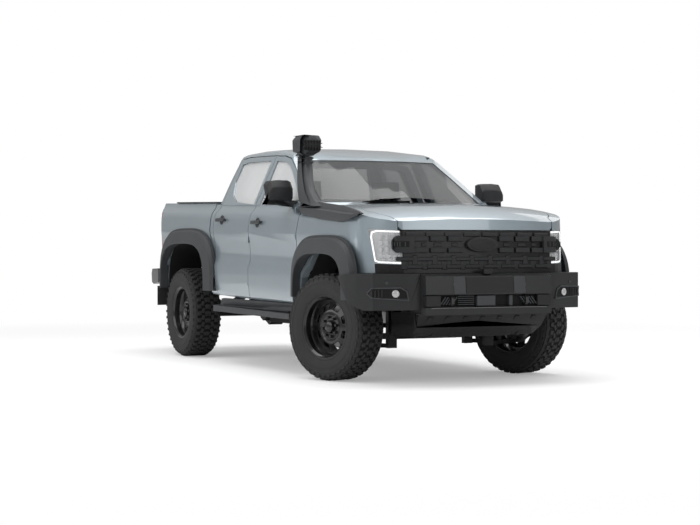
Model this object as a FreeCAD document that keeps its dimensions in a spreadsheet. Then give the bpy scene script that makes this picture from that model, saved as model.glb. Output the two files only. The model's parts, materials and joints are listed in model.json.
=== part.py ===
"""A lifted dual-cab pickup, built from its real pieces, in millimetres.

X points forward, Y to the vehicle's left and Z up.  The origin is on the ground, in the
middle of the overall length.  Each outline is drawn with the front axle at X = 0, and the
placement of the finished piece carries it forward.  The body sits with its nose down by
rake_share, so panel heights are given at the front axle.
"""
import FreeCAD
import Part
import Sketcher
import functools
import math
import os
from FreeCAD import Placement, Rotation, Vector

SIZES = {
    # whole vehicle
    "overall_length": 5470,
    "front_overhang": 985,
    "wheelbase": 3270,
    "track_width": 1710,
    "body_half_width": 940,
    "cab_height": 1927,
    "rake_share": 0.021,
    # tyres and wheels
    "tyre_radius": 421,
    "tyre_width": 279,
    "tread_width": 244,
    "bead_radius": 232,
    "bead_width": 208,
    "flange_radius": 246,
    "wheel_width": 229,
    "barrel_wall": 8,
    "well_radius": 206,
    "dish_depth": 70,
    "dish_wall": 10,
    "window_radius": 25,
    "window_circle": 158,
    "window_count": 8,
    "hub_radius": 72,
    "hub_length": 100,
    "hub_cap_radius": 44,
    "hub_cap_height": 34,
    "nut_radius": 11,
    "nut_height": 26,
    "nut_circle": 68,
    "brake_disc_radius": 165,
    "brake_disc_width": 20,
    "brake_disc_inset": 25,
    "stub_shaft_radius": 26,
    "stub_shaft_length": 62,
    # steering and front suspension
    "rest_steer_degrees": 19.4,
    "kingpin_inset": 70,
    "ball_joint_rise": 150,
    "arm_thickness": 32,
    "knuckle_width": 60,
    "knuckle_thickness": 34,
    "steering_arm_length": 138,
    "steering_arm_inset": 30,
    "tie_rod_radius": 11,
    "caliper_radius": 186,
    "caliper_width": 66,
    "strut_radius": 48,
    "strut_top": 900,
    "strut_lean": 40,
    "running_gap": 6,
    "bearing_gap": 0.5,
    # ladder frame
    "rail_width": 70,
    "rail_height": 130,
    "rail_centre": 435,
    "rail_wall": 6,
    "cross_tube_radius": 45,
    "body_mount_radius": 45,
    # body shell
    "skin_wall": 60,
    "door_wall": 90,
    "frame_wall": 45,
    "pillar_setback": 106,
    "pillar_wall": 50,
    "roof_half_width": 628,
    "shut_gap": 8,
    "hood_gap": 6,
    "hood_wall": 40,
    "nose_wall": 45,
    "floor_top": 655,
    "floor_wall": 25,
    "glass_wall": 6,
    "glass_depth": 10,
    "glass_gap": 0.3,
    "hinge_pin_radius": 4,
    "hinge_arm_height": 30,
    "hinge_inset": 8,
    "hinge_clearance": 0.05,
    "swing_gap": 6,
    "door_turn_in": 10,
    "cut_overrun": 60,
    # outer pieces
    "flare_half_width": 1014,
    "flare_band": 60,
    "step_half_width": 1012,
    "step_width": 150,
    "bed_floor_top": 892,
    "bed_floor_wall": 22,
    "bed_inner_half_width": 770,
    "tailgate_half_width": 688,
    "tailgate_wall": 62,
    "bumper_half_width": 545,
    "receiver_size": 66,
    "receiver_bore": 51,
    "receiver_pin_radius": 8,
    "hook_bore_radius": 14,
    "hook_thickness": 25,
    "antenna_radius": 2,
    "antenna_height": 200,
    "axle_tube_radius": 45,
    "leaf_width": 70,
    "leaf_thickness": 40,
    "exhaust_radius": 32,
    "prop_shaft_radius": 35,
    "column_radius": 22,
    "steering_wheel_radius": 188,
    "grip_radius": 15,
    "column_tilt_degrees": 24,
}

doc = FreeCAD.newDocument("pickup")
sheet = doc.addObject("Spreadsheet::Sheet", "sizes")
for row, (alias, value) in enumerate(SIZES.items(), start=1):
    sheet.set(f"A{row}", alias)
    sheet.set(f"B{row}", str(value))
    sheet.setAlias(f"B{row}", alias)
doc.recompute()

pieces = []
BAR_SIDES = 8


# Reading sizes and naming finished pieces

def value_of(expression):
    """The number that an expression on the sheet gives."""
    return float(sheet.evalExpression(expression))


class Sizes:
    """Reads a cell by its alias, as size.wheelbase."""

    def __getattr__(self, alias):
        return float(sheet.get(alias))


size = Sizes()
WHEELBASE = size.wheelbase
HALF_WIDTH = size.body_half_width
CAB_HEIGHT = size.cab_height
RAKE = size.rake_share
FRONT_AXLE_X = "sizes.overall_length / 2 - sizes.front_overhang"


def finish(item, label):
    """Gives a finished piece its name and carries it forward to its place."""
    item.Label = label
    item.setExpression("Placement.Base.x", FRONT_AXLE_X)
    pieces.append(item)
    return item


def keep_shape(label, shape):
    """A finished piece whose surface is cut from the body's own sculpted shells."""
    item = doc.addObject("Part::Feature", label)
    item.Shape = shape.removeSplitter()
    return finish(item, label)


# Outlines: shares of the wheelbase along X, half width along Y and cab height along Z

def xz(shares):
    return [(f"sizes.wheelbase * {a}", f"sizes.cab_height * {b}") for a, b in shares]


def yz(shares):
    return [(f"sizes.body_half_width * {a}", f"sizes.cab_height * {b}") for a, b in shares]


def xy(shares):
    return [(f"sizes.wheelbase * {a}", f"sizes.body_half_width * {b}") for a, b in shares]


def closed_sketch(body, name, role, points, offset):
    """A closed outline of straight edges, each corner bound to the sheet."""
    sketch = body.newObject("Sketcher::SketchObject", name)
    plane = [f for f in body.Origin.OriginFeatures if f.Role == role][0]
    sketch.AttachmentSupport = [(plane, "")]
    sketch.MapMode = "FlatFace"
    sketch.setExpression("AttachmentOffset.Base.z", offset)
    corners = [(value_of(a), value_of(b)) for a, b in points]
    count = len(corners)
    for i, start in enumerate(corners):
        end = corners[(i + 1) % count]
        line = Part.LineSegment(Vector(start[0], start[1], 0), Vector(end[0], end[1], 0))
        sketch.addGeometry(line, False)
    for i in range(count):
        sketch.addConstraint(Sketcher.Constraint("Coincident", i, 2, (i + 1) % count, 1))
    for i, (along, up) in enumerate(points):
        for kind, expression in (("DistanceX", along), ("DistanceY", up)):
            rule = Sketcher.Constraint(kind, -1, 1, i, 1, value_of(expression))
            index = sketch.addConstraint(rule)
            sketch.setExpression(f"Constraints[{index}]", expression)
    return sketch


def padded(name, role, points, offset, length):
    body = doc.addObject("PartDesign::Body", name)
    sketch = closed_sketch(body, name + "_outline", role, points, offset)
    pad = body.newObject("PartDesign::Pad", name + "_pad")
    pad.Profile = sketch
    pad.setExpression("Length", length)
    return body


def side_slab(name, points, low_y, high_y):
    """An outline seen from the side, with its thickness across the vehicle."""
    return padded(name, "XZ_Plane", points, f"-({high_y})", f"({high_y}) - ({low_y})")


def plan_slab(name, points, low_z, high_z):
    return padded(name, "XY_Plane", points, low_z, f"({high_z}) - ({low_z})")


def front_slab(name, points, low_x, high_x):
    return padded(name, "YZ_Plane", points, low_x, f"({high_x}) - ({low_x})")


def block(name, low_x, high_x, low_y, high_y, low_z, high_z):
    item = doc.addObject("Part::Box", name)
    item.setExpression("Length", f"({high_x}) - ({low_x})")
    item.setExpression("Width", f"({high_y}) - ({low_y})")
    item.setExpression("Height", f"({high_z}) - ({low_z})")
    item.setExpression("Placement.Base.x", low_x)
    item.setExpression("Placement.Base.y", low_y)
    item.setExpression("Placement.Base.z", low_z)
    return item


def rod(name, radius, length, base, axis, bearing=False):
    """A bar from base, three expressions, along an axis: round where it is a bearing."""
    item = doc.addObject("Part::Cylinder" if bearing else "Part::Prism", name)
    if not bearing:
        item.Polygon = BAR_SIDES
    item.setExpression("Radius" if bearing else "Circumradius", radius)
    item.setExpression("Height", length)
    item.Placement = Placement(Vector(0, 0, 0), Rotation(Vector(0, 0, 1), axis))
    for letter, expression in zip("xyz", base):
        item.setExpression(f"Placement.Base.{letter}", expression)
    return item


def join(name, parts):
    item = doc.addObject("Part::MultiFuse", name)
    item.Shapes = parts
    item.Refine = True
    return item


def cut(name, base, tool):
    item = doc.addObject("Part::Cut", name)
    item.Base = base
    item.Tool = tool
    item.Refine = True
    return item


def common(name, parts):
    item = doc.addObject("Part::MultiCommon", name)
    item.Shapes = parts
    return item


def mirrored(name, source):
    item = doc.addObject("Part::Mirroring", name)
    item.Source = source
    item.Normal = Vector(0, 1, 0)
    return item


def group(name, parts):
    """Solids of one node that don't touch each other."""
    item = doc.addObject("Part::Compound", name)
    item.Links = parts
    return item


def pair(name, source):
    """The left piece and its mirror image on the right."""
    return group(name, [source, mirrored(name + "_right", source)])


# Wheels and tyres

TYRE_SIDES = 32
RIM_SIDES = 16
HUB_SIDES = 8
TYRE_OUTER_SHARES = (
    (0.79, -0.5), (0.9, -0.487), (0.965, -0.445), (1.0, -0.34), (1.0, 0.34), (0.965, 0.445),
    (0.9, 0.487), (0.79, 0.5),
)
TYRE_BORE_SHARES = (
    (0.81, -0.51), (0.594, -0.376), (0.545, -0.373), (0.545, 0.373), (0.594, 0.376), (0.81, 0.51),
)
BARREL_SHARES = ((1.0, -0.5), (0.931, -0.46), (0.86, 0.0), (0.931, 0.46), (1.0, 0.5))
WELL_SHARES = ((0.965, -0.51), (0.885, -0.44), (0.81, 0.03), (0.885, 0.44), (0.965, 0.51))
DISH_SHARES = ((0.83, 0.03), (0.83, 0.087), (0.732, 0.105), (0.537, 0.236), (0.423, 0.253))
DISH_BACK_SHARES = ((0.76, 0.029), (0.49, 0.195))
HUB_SHARES = ((0.293, -0.314), (0.293, 0.2))
BRAKE_DISC_SHARES = ((0.671, -0.197), (0.671, -0.109))
HUB_CAP_SHARES = ((0.195, 0.19), (0.179, 0.34), (0.14, 0.367))
CAP_ROOM_SHARES = ((0.35, 0.201), (0.4, 0.26))


def drum(shares, radius, width, sides):
    """A flat-sided drum about the Y axis, through rings given as radius and place."""
    rings = []
    for radius_share, place_share in shares:
        reach = radius * radius_share
        turns = [math.tau * side / sides for side in range(sides)]
        rings.append([Vector(reach * math.cos(turn), width * place_share, reach * math.sin(turn))
                      for turn in turns])
    return skinned(rings)


def wheel_drum(shares, sides):
    return drum(shares, size.flange_radius, size.wheel_width, sides)


def tyre_master():
    carcass = drum(TYRE_OUTER_SHARES, size.tyre_radius, size.tyre_width, TYRE_SIDES)
    bore = drum(TYRE_BORE_SHARES, size.tyre_radius, size.tyre_width, TYRE_SIDES)
    item = doc.addObject("Part::Feature", "tyre_master")
    item.Shape = carcass.cut(bore)
    return item


def window_shape(index):
    """One of the holes between the spokes."""
    turn = math.tau * index / size.window_count
    centre = Vector(size.window_circle * math.cos(turn), 0, size.window_circle * math.sin(turn))
    corners = [centre + Vector(size.window_radius * math.cos(turn + math.tau * k / 5), 0,
                               size.window_radius * math.sin(turn + math.tau * k / 5))
               for k in range(5)]
    return flat_face(corners).extrude(Vector(0, size.wheel_width / 2, 0))


def rim_master():
    """Barrel with its dropped well, dished face with windows, hub, brake disc and stub shaft."""
    barrel = wheel_drum(BARREL_SHARES, RIM_SIDES).cut(wheel_drum(WELL_SHARES, RIM_SIDES))
    dish = wheel_drum(DISH_SHARES, RIM_SIDES).cut(wheel_drum(DISH_BACK_SHARES, RIM_SIDES))
    dish = dish.cut(wheel_drum(CAP_ROOM_SHARES, HUB_SIDES))
    windows = [window_shape(index) for index in range(int(size.window_count))]
    dish = dish.cut(windows[0].multiFuse(windows[1:]))
    hub = wheel_drum(HUB_SHARES, HUB_SIDES)
    disc = wheel_drum(BRAKE_DISC_SHARES, HUB_SIDES)
    cap = wheel_drum(HUB_CAP_SHARES, HUB_SIDES)
    shaft = Part.makeCylinder(
        size.stub_shaft_radius, size.stub_shaft_length + size.hub_length / 2,
        Vector(0, -size.wheel_width * 0.314 - size.stub_shaft_length, 0), Vector(0, 1, 0))
    item = doc.addObject("Part::Feature", "rim_master")
    item.Shape = barrel.multiFuse([dish, hub, disc, cap, shaft]).removeSplitter()
    return item


def place_wheel(source, label, side, front):
    """side is 1 on the left and -1 on the right; the outer face turns outwards."""
    item = doc.addObject("Part::Compound", label)
    item.Links = [source if side > 0 else mirrored(label + "_face", source)]
    item.Placement = Placement(Vector(0, 0, 0), Rotation(Vector(0, 0, 1), size.rest_steer_degrees))
    steer = "sizes.rest_steer_degrees * 1deg" if front else "0deg"
    kingpin = "(sizes.track_width / 2 - sizes.kingpin_inset)"
    item.setExpression("Placement.Rotation.Angle", steer)
    inset = "sizes.kingpin_inset"
    if front:
        item.setExpression("Placement.Base.y", f"{side} * ({kingpin} + {inset} * cos({steer}))")
    else:
        item.setExpression("Placement.Base.y", f"{side} * sizes.track_width / 2")
    item.setExpression("Placement.Base.z", "sizes.tyre_radius")
    finish(item, label)
    shift = f"- {side} * {inset} * sin({steer})" if front else "- sizes.wheelbase"
    item.setExpression("Placement.Base.x", f"{FRONT_AXLE_X} {shift}")
    return item


def wheels():
    tyre = tyre_master()
    rim = rim_master()
    for front in (True, False):
        for side in (1, -1):
            end = ("front_" if front else "rear_") + ("left" if side > 0 else "right")
            place_wheel(tyre, "tyre_" + end, side, front)
            place_wheel(rim, "rim_" + end, side, front)


# Knuckles: drawn straight ahead about the left kingpin, outboard is +Y

# a flat-sided seat whose flats stand clear of the round stub shaft
BEARING_ROOM = f"(sizes.stub_shaft_radius + sizes.bearing_gap) / cos(180deg / {BAR_SIDES})"
HUB_INNER_Y = "sizes.kingpin_inset - sizes.wheel_width * 0.314"
DISC_INNER_Y = "sizes.kingpin_inset - sizes.wheel_width * 0.197"
DISC_OUTER_Y = "sizes.kingpin_inset - sizes.wheel_width * 0.109"


def along_y(name, radius, low_y, high_y, x, z, bearing=False):
    return rod(name, radius, f"({high_y}) - ({low_y})", (x, low_y, z), Vector(0, 1, 0), bearing)


def along_z(name, radius, low_z, high_z, x, y, bearing=False):
    return rod(name, radius, f"({high_z}) - ({low_z})", (x, y, low_z), Vector(0, 0, 1), bearing)


def along_x(name, radius, low_x, high_x, y, z):
    return rod(name, radius, f"({high_x}) - ({low_x})", (low_x, y, z), Vector(1, 0, 0))


def knuckle_master():
    axle = "sizes.tyre_radius"
    low = "(sizes.tyre_radius - sizes.ball_joint_rise + sizes.arm_thickness / 2 + sizes.bearing_gap)"
    high = "(sizes.tyre_radius + sizes.ball_joint_rise - sizes.arm_thickness / 2 - sizes.bearing_gap)"
    wide = "sizes.knuckle_width / 2"
    thick = "sizes.knuckle_thickness"
    post = block("knuckle_post", f"-{wide}", wide, f"-{wide} - {thick} * 0.7",
                 f"-{wide} * 0.5", low, high)
    seat_low = along_z("lower_seat", "sizes.knuckle_width * 0.33", low,
                       f"{low} + {thick}", "0", "0")
    pin = along_z("kingpin_bore", "sizes.hinge_pin_radius", low, f"{low} + {thick} / 2", "0", "0", True)
    seat_high = along_z("upper_seat", "sizes.knuckle_width * 0.33", f"{high} - {thick}",
                        high, "0", "0")
    hub_face = f"{HUB_INNER_Y} - sizes.running_gap / 2"
    housing = along_y("bearing_housing", "sizes.hub_radius * 0.86", f"-{wide} * 2.1",
                      hub_face, "0", axle)
    arm_z = "sizes.tyre_radius - sizes.ball_joint_rise * 0.5"
    arm = block("steering_arm", "-sizes.steering_arm_length - sizes.knuckle_width * 0.3", "0",
                f"-sizes.steering_arm_inset - {thick}", f"-{wide} * 0.6",
                f"{arm_z}", f"{arm_z} + sizes.knuckle_width * 0.37")
    bracket = block("caliper_bracket", "-sizes.caliper_radius * 0.72", "0",
                    f"-{wide} - {thick} * 0.4", f"-{wide} * 0.5",
                    f"{axle} + {wide} * 0.4", f"{axle} + {wide} * 1.8")
    body_y = f"{DISC_OUTER_Y} + sizes.running_gap + {thick} * 0.4"
    caliper = block("caliper_body", "-sizes.caliper_radius * 0.94", "-sizes.caliper_radius * 0.6",
                    f"-{wide} - {thick} * 0.4", body_y,
                    f"{axle} - {wide} * 1.4", f"{axle} + {wide} * 1.8")
    solid = join("knuckle_blank", [post, seat_low, seat_high, housing, arm, bracket, caliper])
    slot = along_y("disc_slot", "sizes.flange_radius * 0.671 + sizes.running_gap",
                   f"{DISC_INNER_Y} - sizes.running_gap",
                   f"{DISC_OUTER_Y} + sizes.running_gap", "0", axle, True)
    bore = along_y("bearing_bore", BEARING_ROOM, f"-{wide} * 3", f"{HUB_INNER_Y} + {thick}", "0", axle)
    return cut("knuckle_master", solid, join("knuckle_cuts", [slot, bore, pin]))


def knuckles():
    left = knuckle_master()
    for side in (1, -1):
        label = "knuckle_left" if side > 0 else "knuckle_right"
        item = doc.addObject("Part::Compound", label)
        item.Links = [left if side > 0 else mirrored(label + "_face", left)]
        item.Placement = Placement(
            Vector(0, 0, 0), Rotation(Vector(0, 0, 1), size.rest_steer_degrees))
        item.setExpression("Placement.Rotation.Angle", "sizes.rest_steer_degrees * 1deg")
        item.setExpression(
            "Placement.Base.y", f"{side} * (sizes.track_width / 2 - sizes.kingpin_inset)")
        finish(item, label)


KINGPIN_Y = "(sizes.track_width / 2 - sizes.kingpin_inset)"
LOWER_ARM_SHARES = (
    (-0.0076, 0.8404), (0.0076, 0.8404), (0.0147, 0.734), (0.0612, 0.5067), (0.0459, 0.5067),
    (0.0, 0.5745), (-0.0459, 0.5067), (-0.0612, 0.5067), (-0.0147, 0.734),
)
UPPER_ARM_SHARES = (
    (-0.0076, 0.8404), (0.0076, 0.8404), (0.0073, 0.734), (0.0061, 0.5067), (-0.055, 0.5067),
    (-0.055, 0.5319), (-0.0122, 0.734),
)


def front_suspension():
    lower_z = "(sizes.tyre_radius - sizes.ball_joint_rise)"
    upper_z = "(sizes.tyre_radius + sizes.ball_joint_rise)"
    half = "sizes.arm_thickness / 2"
    lower = plan_slab("lower_arm", xy(LOWER_ARM_SHARES), f"{lower_z} - {half}",
                      f"{lower_z} + {half}")
    upper = plan_slab("upper_arm", xy(UPPER_ARM_SHARES), f"{upper_z} - {half}",
                      f"{upper_z} + {half}")
    strut_x = "sizes.strut_radius * 1.6"
    strut_y = f"{KINGPIN_Y} * 0.764"
    damper = along_z("damper", "sizes.strut_radius * 0.5", f"{lower_z} + {half}",
                     "sizes.strut_top", strut_x, strut_y)
    coil = along_z("coil_spring", "sizes.strut_radius * 0.75", f"{lower_z} + {half} * 8",
                   "sizes.strut_top - sizes.strut_radius * 0.5", strut_x, strut_y)
    strut = join("strut", [damper, coil])
    left = join("front_arms", [lower, strut])
    # the lower arm carries the strut; the upper arm stands apart on its own pivots
    side = group("front_corner", [left, upper])
    diff = join("front_diff", [
        along_y("diff_case", "sizes.hub_radius * 1.1", "-sizes.rail_centre * 0.3",
                "sizes.rail_centre * 0.3", "0", "sizes.tyre_radius"),
        along_y("half_shafts", "sizes.stub_shaft_radius * 0.7",
                f"-{KINGPIN_Y} + sizes.hub_radius * 1.35",
                f"{KINGPIN_Y} - sizes.hub_radius * 1.35", "0", "sizes.tyre_radius"),
        along_y("left_boot", "sizes.stub_shaft_radius * 1.1", f"{KINGPIN_Y} * 0.83",
                f"{KINGPIN_Y} - sizes.hub_radius * 1.36", "0", "sizes.tyre_radius"),
        along_y("right_boot", "sizes.stub_shaft_radius * 1.1",
                f"-{KINGPIN_Y} + sizes.hub_radius * 1.36", f"-{KINGPIN_Y} * 0.83", "0",
                "sizes.tyre_radius"),
        block("diff_carrier", at(0.012), f"{at(0.046)} - sizes.glass_gap", "-sizes.rail_centre * 0.99",
              "sizes.rail_centre * 0.99", "sizes.tyre_radius * 0.96", "sizes.tyre_radius * 1.04"),
    ])
    case = along_y("rack_case", "sizes.tie_rod_radius * 2.4", "-sizes.rail_centre * 0.7",
                   "sizes.rail_centre * 0.7", RACK_X, RACK_Z)
    ears = both_sides("rack_ear", f"{at(-0.046)} + sizes.glass_gap", f"{RACK_X} + sizes.tie_rod_radius * 2",
                      "sizes.rail_centre * 0.66", "sizes.rail_centre * 0.96",
                      f"{RACK_Z} - sizes.tie_rod_radius * 2.2", f"{RACK_Z} + sizes.tie_rod_radius * 2.2")
    rack = cut("rack_housing", join("rack_body", [case] + ears), along_y(
        "rack_bore", "sizes.tie_rod_radius + sizes.bearing_gap", "-sizes.rail_centre",
        "sizes.rail_centre", RACK_X, RACK_Z))
    finish(group("front_suspension_parts", [
        side, mirrored("front_corner_right", side), diff, rack]), "front_suspension")


RACK_X = "-sizes.steering_arm_length * 0.9"
RACK_Z = "(sizes.tyre_radius - sizes.ball_joint_rise * 0.5 - sizes.tie_rod_radius * 1.6 - sizes.bearing_gap)"


def tie_rods():
    shift = "-(sizes.steering_arm_length * sin(sizes.rest_steer_degrees * 1deg))"
    reach = f"({KINGPIN_Y} - sizes.steering_arm_inset)"
    bar = along_y("track_bar", "sizes.tie_rod_radius", f"{shift} - {reach}",
                  f"{shift} + {reach}", RACK_X, RACK_Z)
    ends = []
    for name, y in (("left_ball", f"{shift} + {reach}"), ("right_ball", f"{shift} - {reach}")):
        reach_z = "sizes.tie_rod_radius * 1.6"
        ends.append(along_z(name, reach_z, f"{RACK_Z} - {reach_z}", f"{RACK_Z} + {reach_z}", RACK_X, y))
    finish(join("tie_rod_bar", [bar] + ends), "tie_rods")


# Ladder frame and what hangs from it

RAIL_SHARES = (
    (0.2176, 0.3425), (0.0917, 0.3633), (-0.0673, 0.3633), (-0.1315, 0.3114),
    (-0.7829, 0.3114), (-0.8746, 0.4048), (-1.1162, 0.4048), (-1.2936, 0.3944),
    (-1.2936, 0.3321), (-1.1162, 0.3373), (-0.8869, 0.3373), (-0.7829, 0.2439),
    (-0.1315, 0.2439), (-0.0673, 0.2958), (0.0917, 0.2958), (0.2176, 0.2802),
)


def at(shares_x):
    return f"(sizes.wheelbase * {shares_x})"


def up(shares_z):
    return f"(sizes.cab_height * {shares_z})"


def both_sides(name, low_x, high_x, low_y, high_y, low_z, high_z):
    left = block(name + "_left", low_x, high_x, low_y, high_y, low_z, high_z)
    right = block(name + "_right", low_x, high_x, f"-({high_y})", f"-({low_y})", low_z, high_z)
    return [left, right]


def ladder_frame():
    inner = "(sizes.rail_centre - sizes.rail_width / 2)"
    outer = "(sizes.rail_centre + sizes.rail_width / 2)"
    left = side_slab("left_rail", xz(RAIL_SHARES), inner, outer)
    parts = [left, mirrored("right_rail", left)]
    radius = "sizes.cross_tube_radius"
    for name, x_share, z_share in CROSS_TUBE_SHARES:
        parts.append(along_y(name, radius, f"-{inner} - sizes.rail_wall",
                             f"{inner} + sizes.rail_wall", at(x_share), up(z_share)))
    rail_top = up(600 / 1927)
    floor_bottom = "(sizes.floor_top - sizes.floor_wall - sizes.glass_gap)"
    for name, x_share in (("front", -0.16), ("middle", -0.43), ("back", -0.72)):
        for side in ("", "-"):
            parts.append(along_z(f"{name}_body_mount{side and '_right'}",
                                 "sizes.body_mount_radius * 0.7", f"{rail_top} - sizes.rail_wall",
                                 floor_bottom, at(x_share), f"{side}sizes.rail_centre"))
    # lower arm pivots, strut towers and the carrier of the skid plate
    parts += both_sides("front_pivot", at(0.046), at(0.061), inner, f"{outer} + sizes.rail_wall",
                        up(0.13), up(0.31))
    parts += both_sides("rear_pivot", at(-0.061), at(-0.046), inner,
                        f"{outer} + sizes.rail_wall", up(0.13), up(0.31))
    parts += both_sides("strut_tower", at(0.008), at(0.039), f"{outer} - sizes.rail_wall",
                        f"{outer} + sizes.rail_wall * 2", up(0.3), "sizes.strut_top")
    parts += both_sides("strut_seat", at(0.004), at(0.044), f"{outer} - sizes.rail_wall",
                        f"{KINGPIN_Y} * 0.83", "sizes.strut_top",
                        "sizes.strut_top + sizes.rail_wall * 2")
    parts += both_sides("skid_leg", at(0.072), at(0.082), inner, outer, up(0.185), up(0.3))
    parts.append(block("skid_carrier", at(0.072), at(0.082), f"-{outer}", outer, up(0.185),
                       up(0.196)))
    parts += both_sides("engine_mount", at(-0.03), at(0.0), "sizes.rail_centre * 0.575",
                        f"{inner} + sizes.rail_wall", up(0.31), up(0.34))
    parts += both_sides("spring_front_hanger", at(-0.81), at(-0.792),
                        f"{outer} - sizes.rail_wall", "sizes.rail_centre * 1.2", up(0.28),
                        up(0.33))
    parts += both_sides("spring_rear_shackle", at(-1.208), at(-1.19),
                        f"{outer} - sizes.rail_wall", "sizes.rail_centre * 1.2", up(0.311),
                        up(0.36))
    parts.append(block("gearbox_carrier", at(-0.352), at(-0.333), f"-{inner} - sizes.rail_wall",
                       f"{inner} + sizes.rail_wall", up(0.2906), up(0.31)))
    finish(join("ladder_frame_weld", parts), "ladder_frame")


MID_TUBE_PLACE = (-0.443, 0.291)
CROSS_TUBE_SHARES = (
    ("radiator_tube", 0.19, 0.311), ("mid_tube", *MID_TUBE_PLACE), ("rear_cab_tube", -0.734, 0.291),
    ("axle_tube_front", -0.933, 0.371), ("axle_tube_rear", -1.138, 0.371),
    ("hitch_tube", -1.27, 0.366),
)


def engine_block():
    casting = block("engine", at(-0.128), at(0.08), "-sizes.rail_centre * 0.574",
                    "sizes.rail_centre * 0.574", up(0.268), up(0.587))
    finish(group("engine_casting", [casting]), "engine_block")


GEARBOX_SHARES = (
    (-0.1287, 0.3217), (-0.1287, 0.1972), (-0.1713, 0.2076), (-0.2141, 0.218),
    (-0.3058, 0.2128), (-0.3823, 0.2024), (-0.3823, 0.2906), (-0.3058, 0.2906),
    (-0.1957, 0.3062), (-0.1468, 0.3217),
)


def driveline():
    case = side_slab("gearbox", xz(GEARBOX_SHARES), "-sizes.rail_centre * 0.3",
                     "sizes.rail_centre * 0.3")
    parts = [case]
    start = Vector(at_value(-0.381), 0, CAB_HEIGHT * 0.249)
    reach = size.hub_radius * 1.9 + size.glass_gap
    end = Vector(-WHEELBASE + reach, 0, size.tyre_radius)
    run = end - start
    shaft = rod("rear_prop_shaft", "sizes.prop_shaft_radius", f"{run.Length}",
                (at(-0.381), "0", up(0.249)), run)
    shaft.Height = run.Length
    parts.append(shaft)
    finish(join("driveline_parts", parts), "driveline")


def at_value(share):
    return WHEELBASE * share


LEAF_SHARES = (
    (-0.7951, 0.3321), (-0.8869, 0.2865), (-1.0, 0.2673), (-1.1131, 0.2865), (-1.2049, 0.3321),
    (-1.2049, 0.3124), (-1.1131, 0.2667), (-1.0, 0.2475), (-0.8869, 0.2667), (-0.7951, 0.3124),
)


def rear_axle_and_springs():
    inner = "(sizes.rail_centre * 1.2 + sizes.glass_gap)"
    outer = f"({inner} + sizes.leaf_width)"
    spring = side_slab("leaf_pack", xz(LEAF_SHARES), inner, outer)
    finish(pair("leaf_packs", spring), "rear_springs")
    axle_x = "-sizes.wheelbase"
    axle_z = "sizes.tyre_radius"
    hub_y = "(sizes.track_width / 2 - sizes.wheel_width * 0.314 - sizes.running_gap / 2)"
    tube = along_y("axle_casing", "sizes.axle_tube_radius", f"-{hub_y}", hub_y, axle_x, axle_z)
    wide = "sizes.hub_radius * 1.9"
    case = join("diff_case_rear", [
        along_y("diff_drum", wide, f"-{wide} * 0.5", f"{wide} * 0.5", axle_x, axle_z),
        along_y("diff_shoulder", f"{wide} * 0.7", f"-{wide} * 0.95", f"{wide} * 0.95", axle_x, axle_z)])
    perches = both_sides("spring_perch", f"{axle_x} - sizes.leaf_width", f"{axle_x} + sizes.leaf_width",
                         inner, outer, f"{axle_z} + sizes.axle_tube_radius * 0.5", up(0.2474))
    solid = join("axle_weld", [tube, case] + perches)
    bore_end = "(sizes.track_width / 2 - sizes.wheel_width * 0.585 - sizes.running_gap / 2)"
    bores = []
    for side in (1, -1):
        low = bore_end if side > 0 else f"-{hub_y} - sizes.rail_wall"
        high = f"{hub_y} + sizes.rail_wall" if side > 0 else f"-{bore_end}"
        bores.append(along_y(f"axle_bore{side}", BEARING_ROOM, low, high, axle_x, axle_z))
    shaped = cut("axle_bored", solid, join("axle_bores", bores))
    finish(shaped, "rear_axle")


def pipe_ring(centre, along, radius):
    """The corners of a pipe's cross-section at centre, square to the way along."""
    axis = Vector(along).normalize()
    across = Vector(0, 1, 0).cross(axis).normalize()
    other = axis.cross(across)
    turns = [math.tau * side / BAR_SIDES for side in range(BAR_SIDES)]
    return [centre + across * radius * math.cos(turn) + other * radius * math.sin(turn) for turn in turns]


EXHAUST_SHARES = (
    (-0.1223, 0.2436, 0.2631), (-0.1713, 0.266, 0.2361), (-0.7034, 0.266, 0.2361),
    (-0.8869, 0.266, 0.3036), (-1.107, 0.2979, 0.3036), (-1.2691, 0.3191, 0.2802),
)


def exhaust():
    """A pipe mitred at its bends, with its silencer and hanger."""
    corners = [Vector(WHEELBASE * a, HALF_WIDTH * b, CAB_HEIGHT * c) for a, b, c in EXHAUST_SHARES]
    radius = size.exhaust_radius
    rings = []
    for index, corner in enumerate(corners):
        before, after = corners[max(index - 1, 0)], corners[min(index + 1, len(corners) - 1)]
        rings.append(pipe_ring(corner, after - before, radius))
    shape = skinned(rings)
    run = corners[2] - corners[1]
    start = corners[1] + run * 0.55
    silencer = skinned([pipe_ring(spot, run, radius * 1.75)
                        for spot in (start, start + run.normalize() * WHEELBASE * 0.2)])
    tube_x, tube_z = MID_TUBE_PLACE
    top = CAB_HEIGHT * tube_z - size.cross_tube_radius - size.glass_gap
    hanger = box_shape(Vector(WHEELBASE * tube_x - radius * 0.2, corners[1].y - radius * 0.2, corners[1].z),
                       Vector(WHEELBASE * tube_x + radius * 0.2, corners[1].y + radius * 0.2, top))
    engine_room = box_shape(Vector(-WHEELBASE * 0.128 - size.glass_gap, 0, CAB_HEIGHT * 0.268 - size.glass_gap),
                            Vector(0, HALF_WIDTH, CAB_HEIGHT))
    keep_shape("exhaust", shape.fuse(silencer).fuse(hanger).cut(engine_room))


def fuel_tank():
    shell = block("tank", at(-0.749), at(-0.505), "-sizes.rail_centre + sizes.rail_width / 2",
                  "-sizes.rail_centre * 0.2", up(0.183), up(0.262))
    finish(group("tank_shell", [shell]), "fuel_tank")


SKID_SHARES = (
    (0.2703, 0.2826), (0.2131, 0.1899), (0.1468, 0.1821), (0.0722, 0.1821), (0.0722, 0.179),
    (0.1468, 0.179), (0.2141, 0.1868), (0.2731, 0.2825),
)


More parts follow.
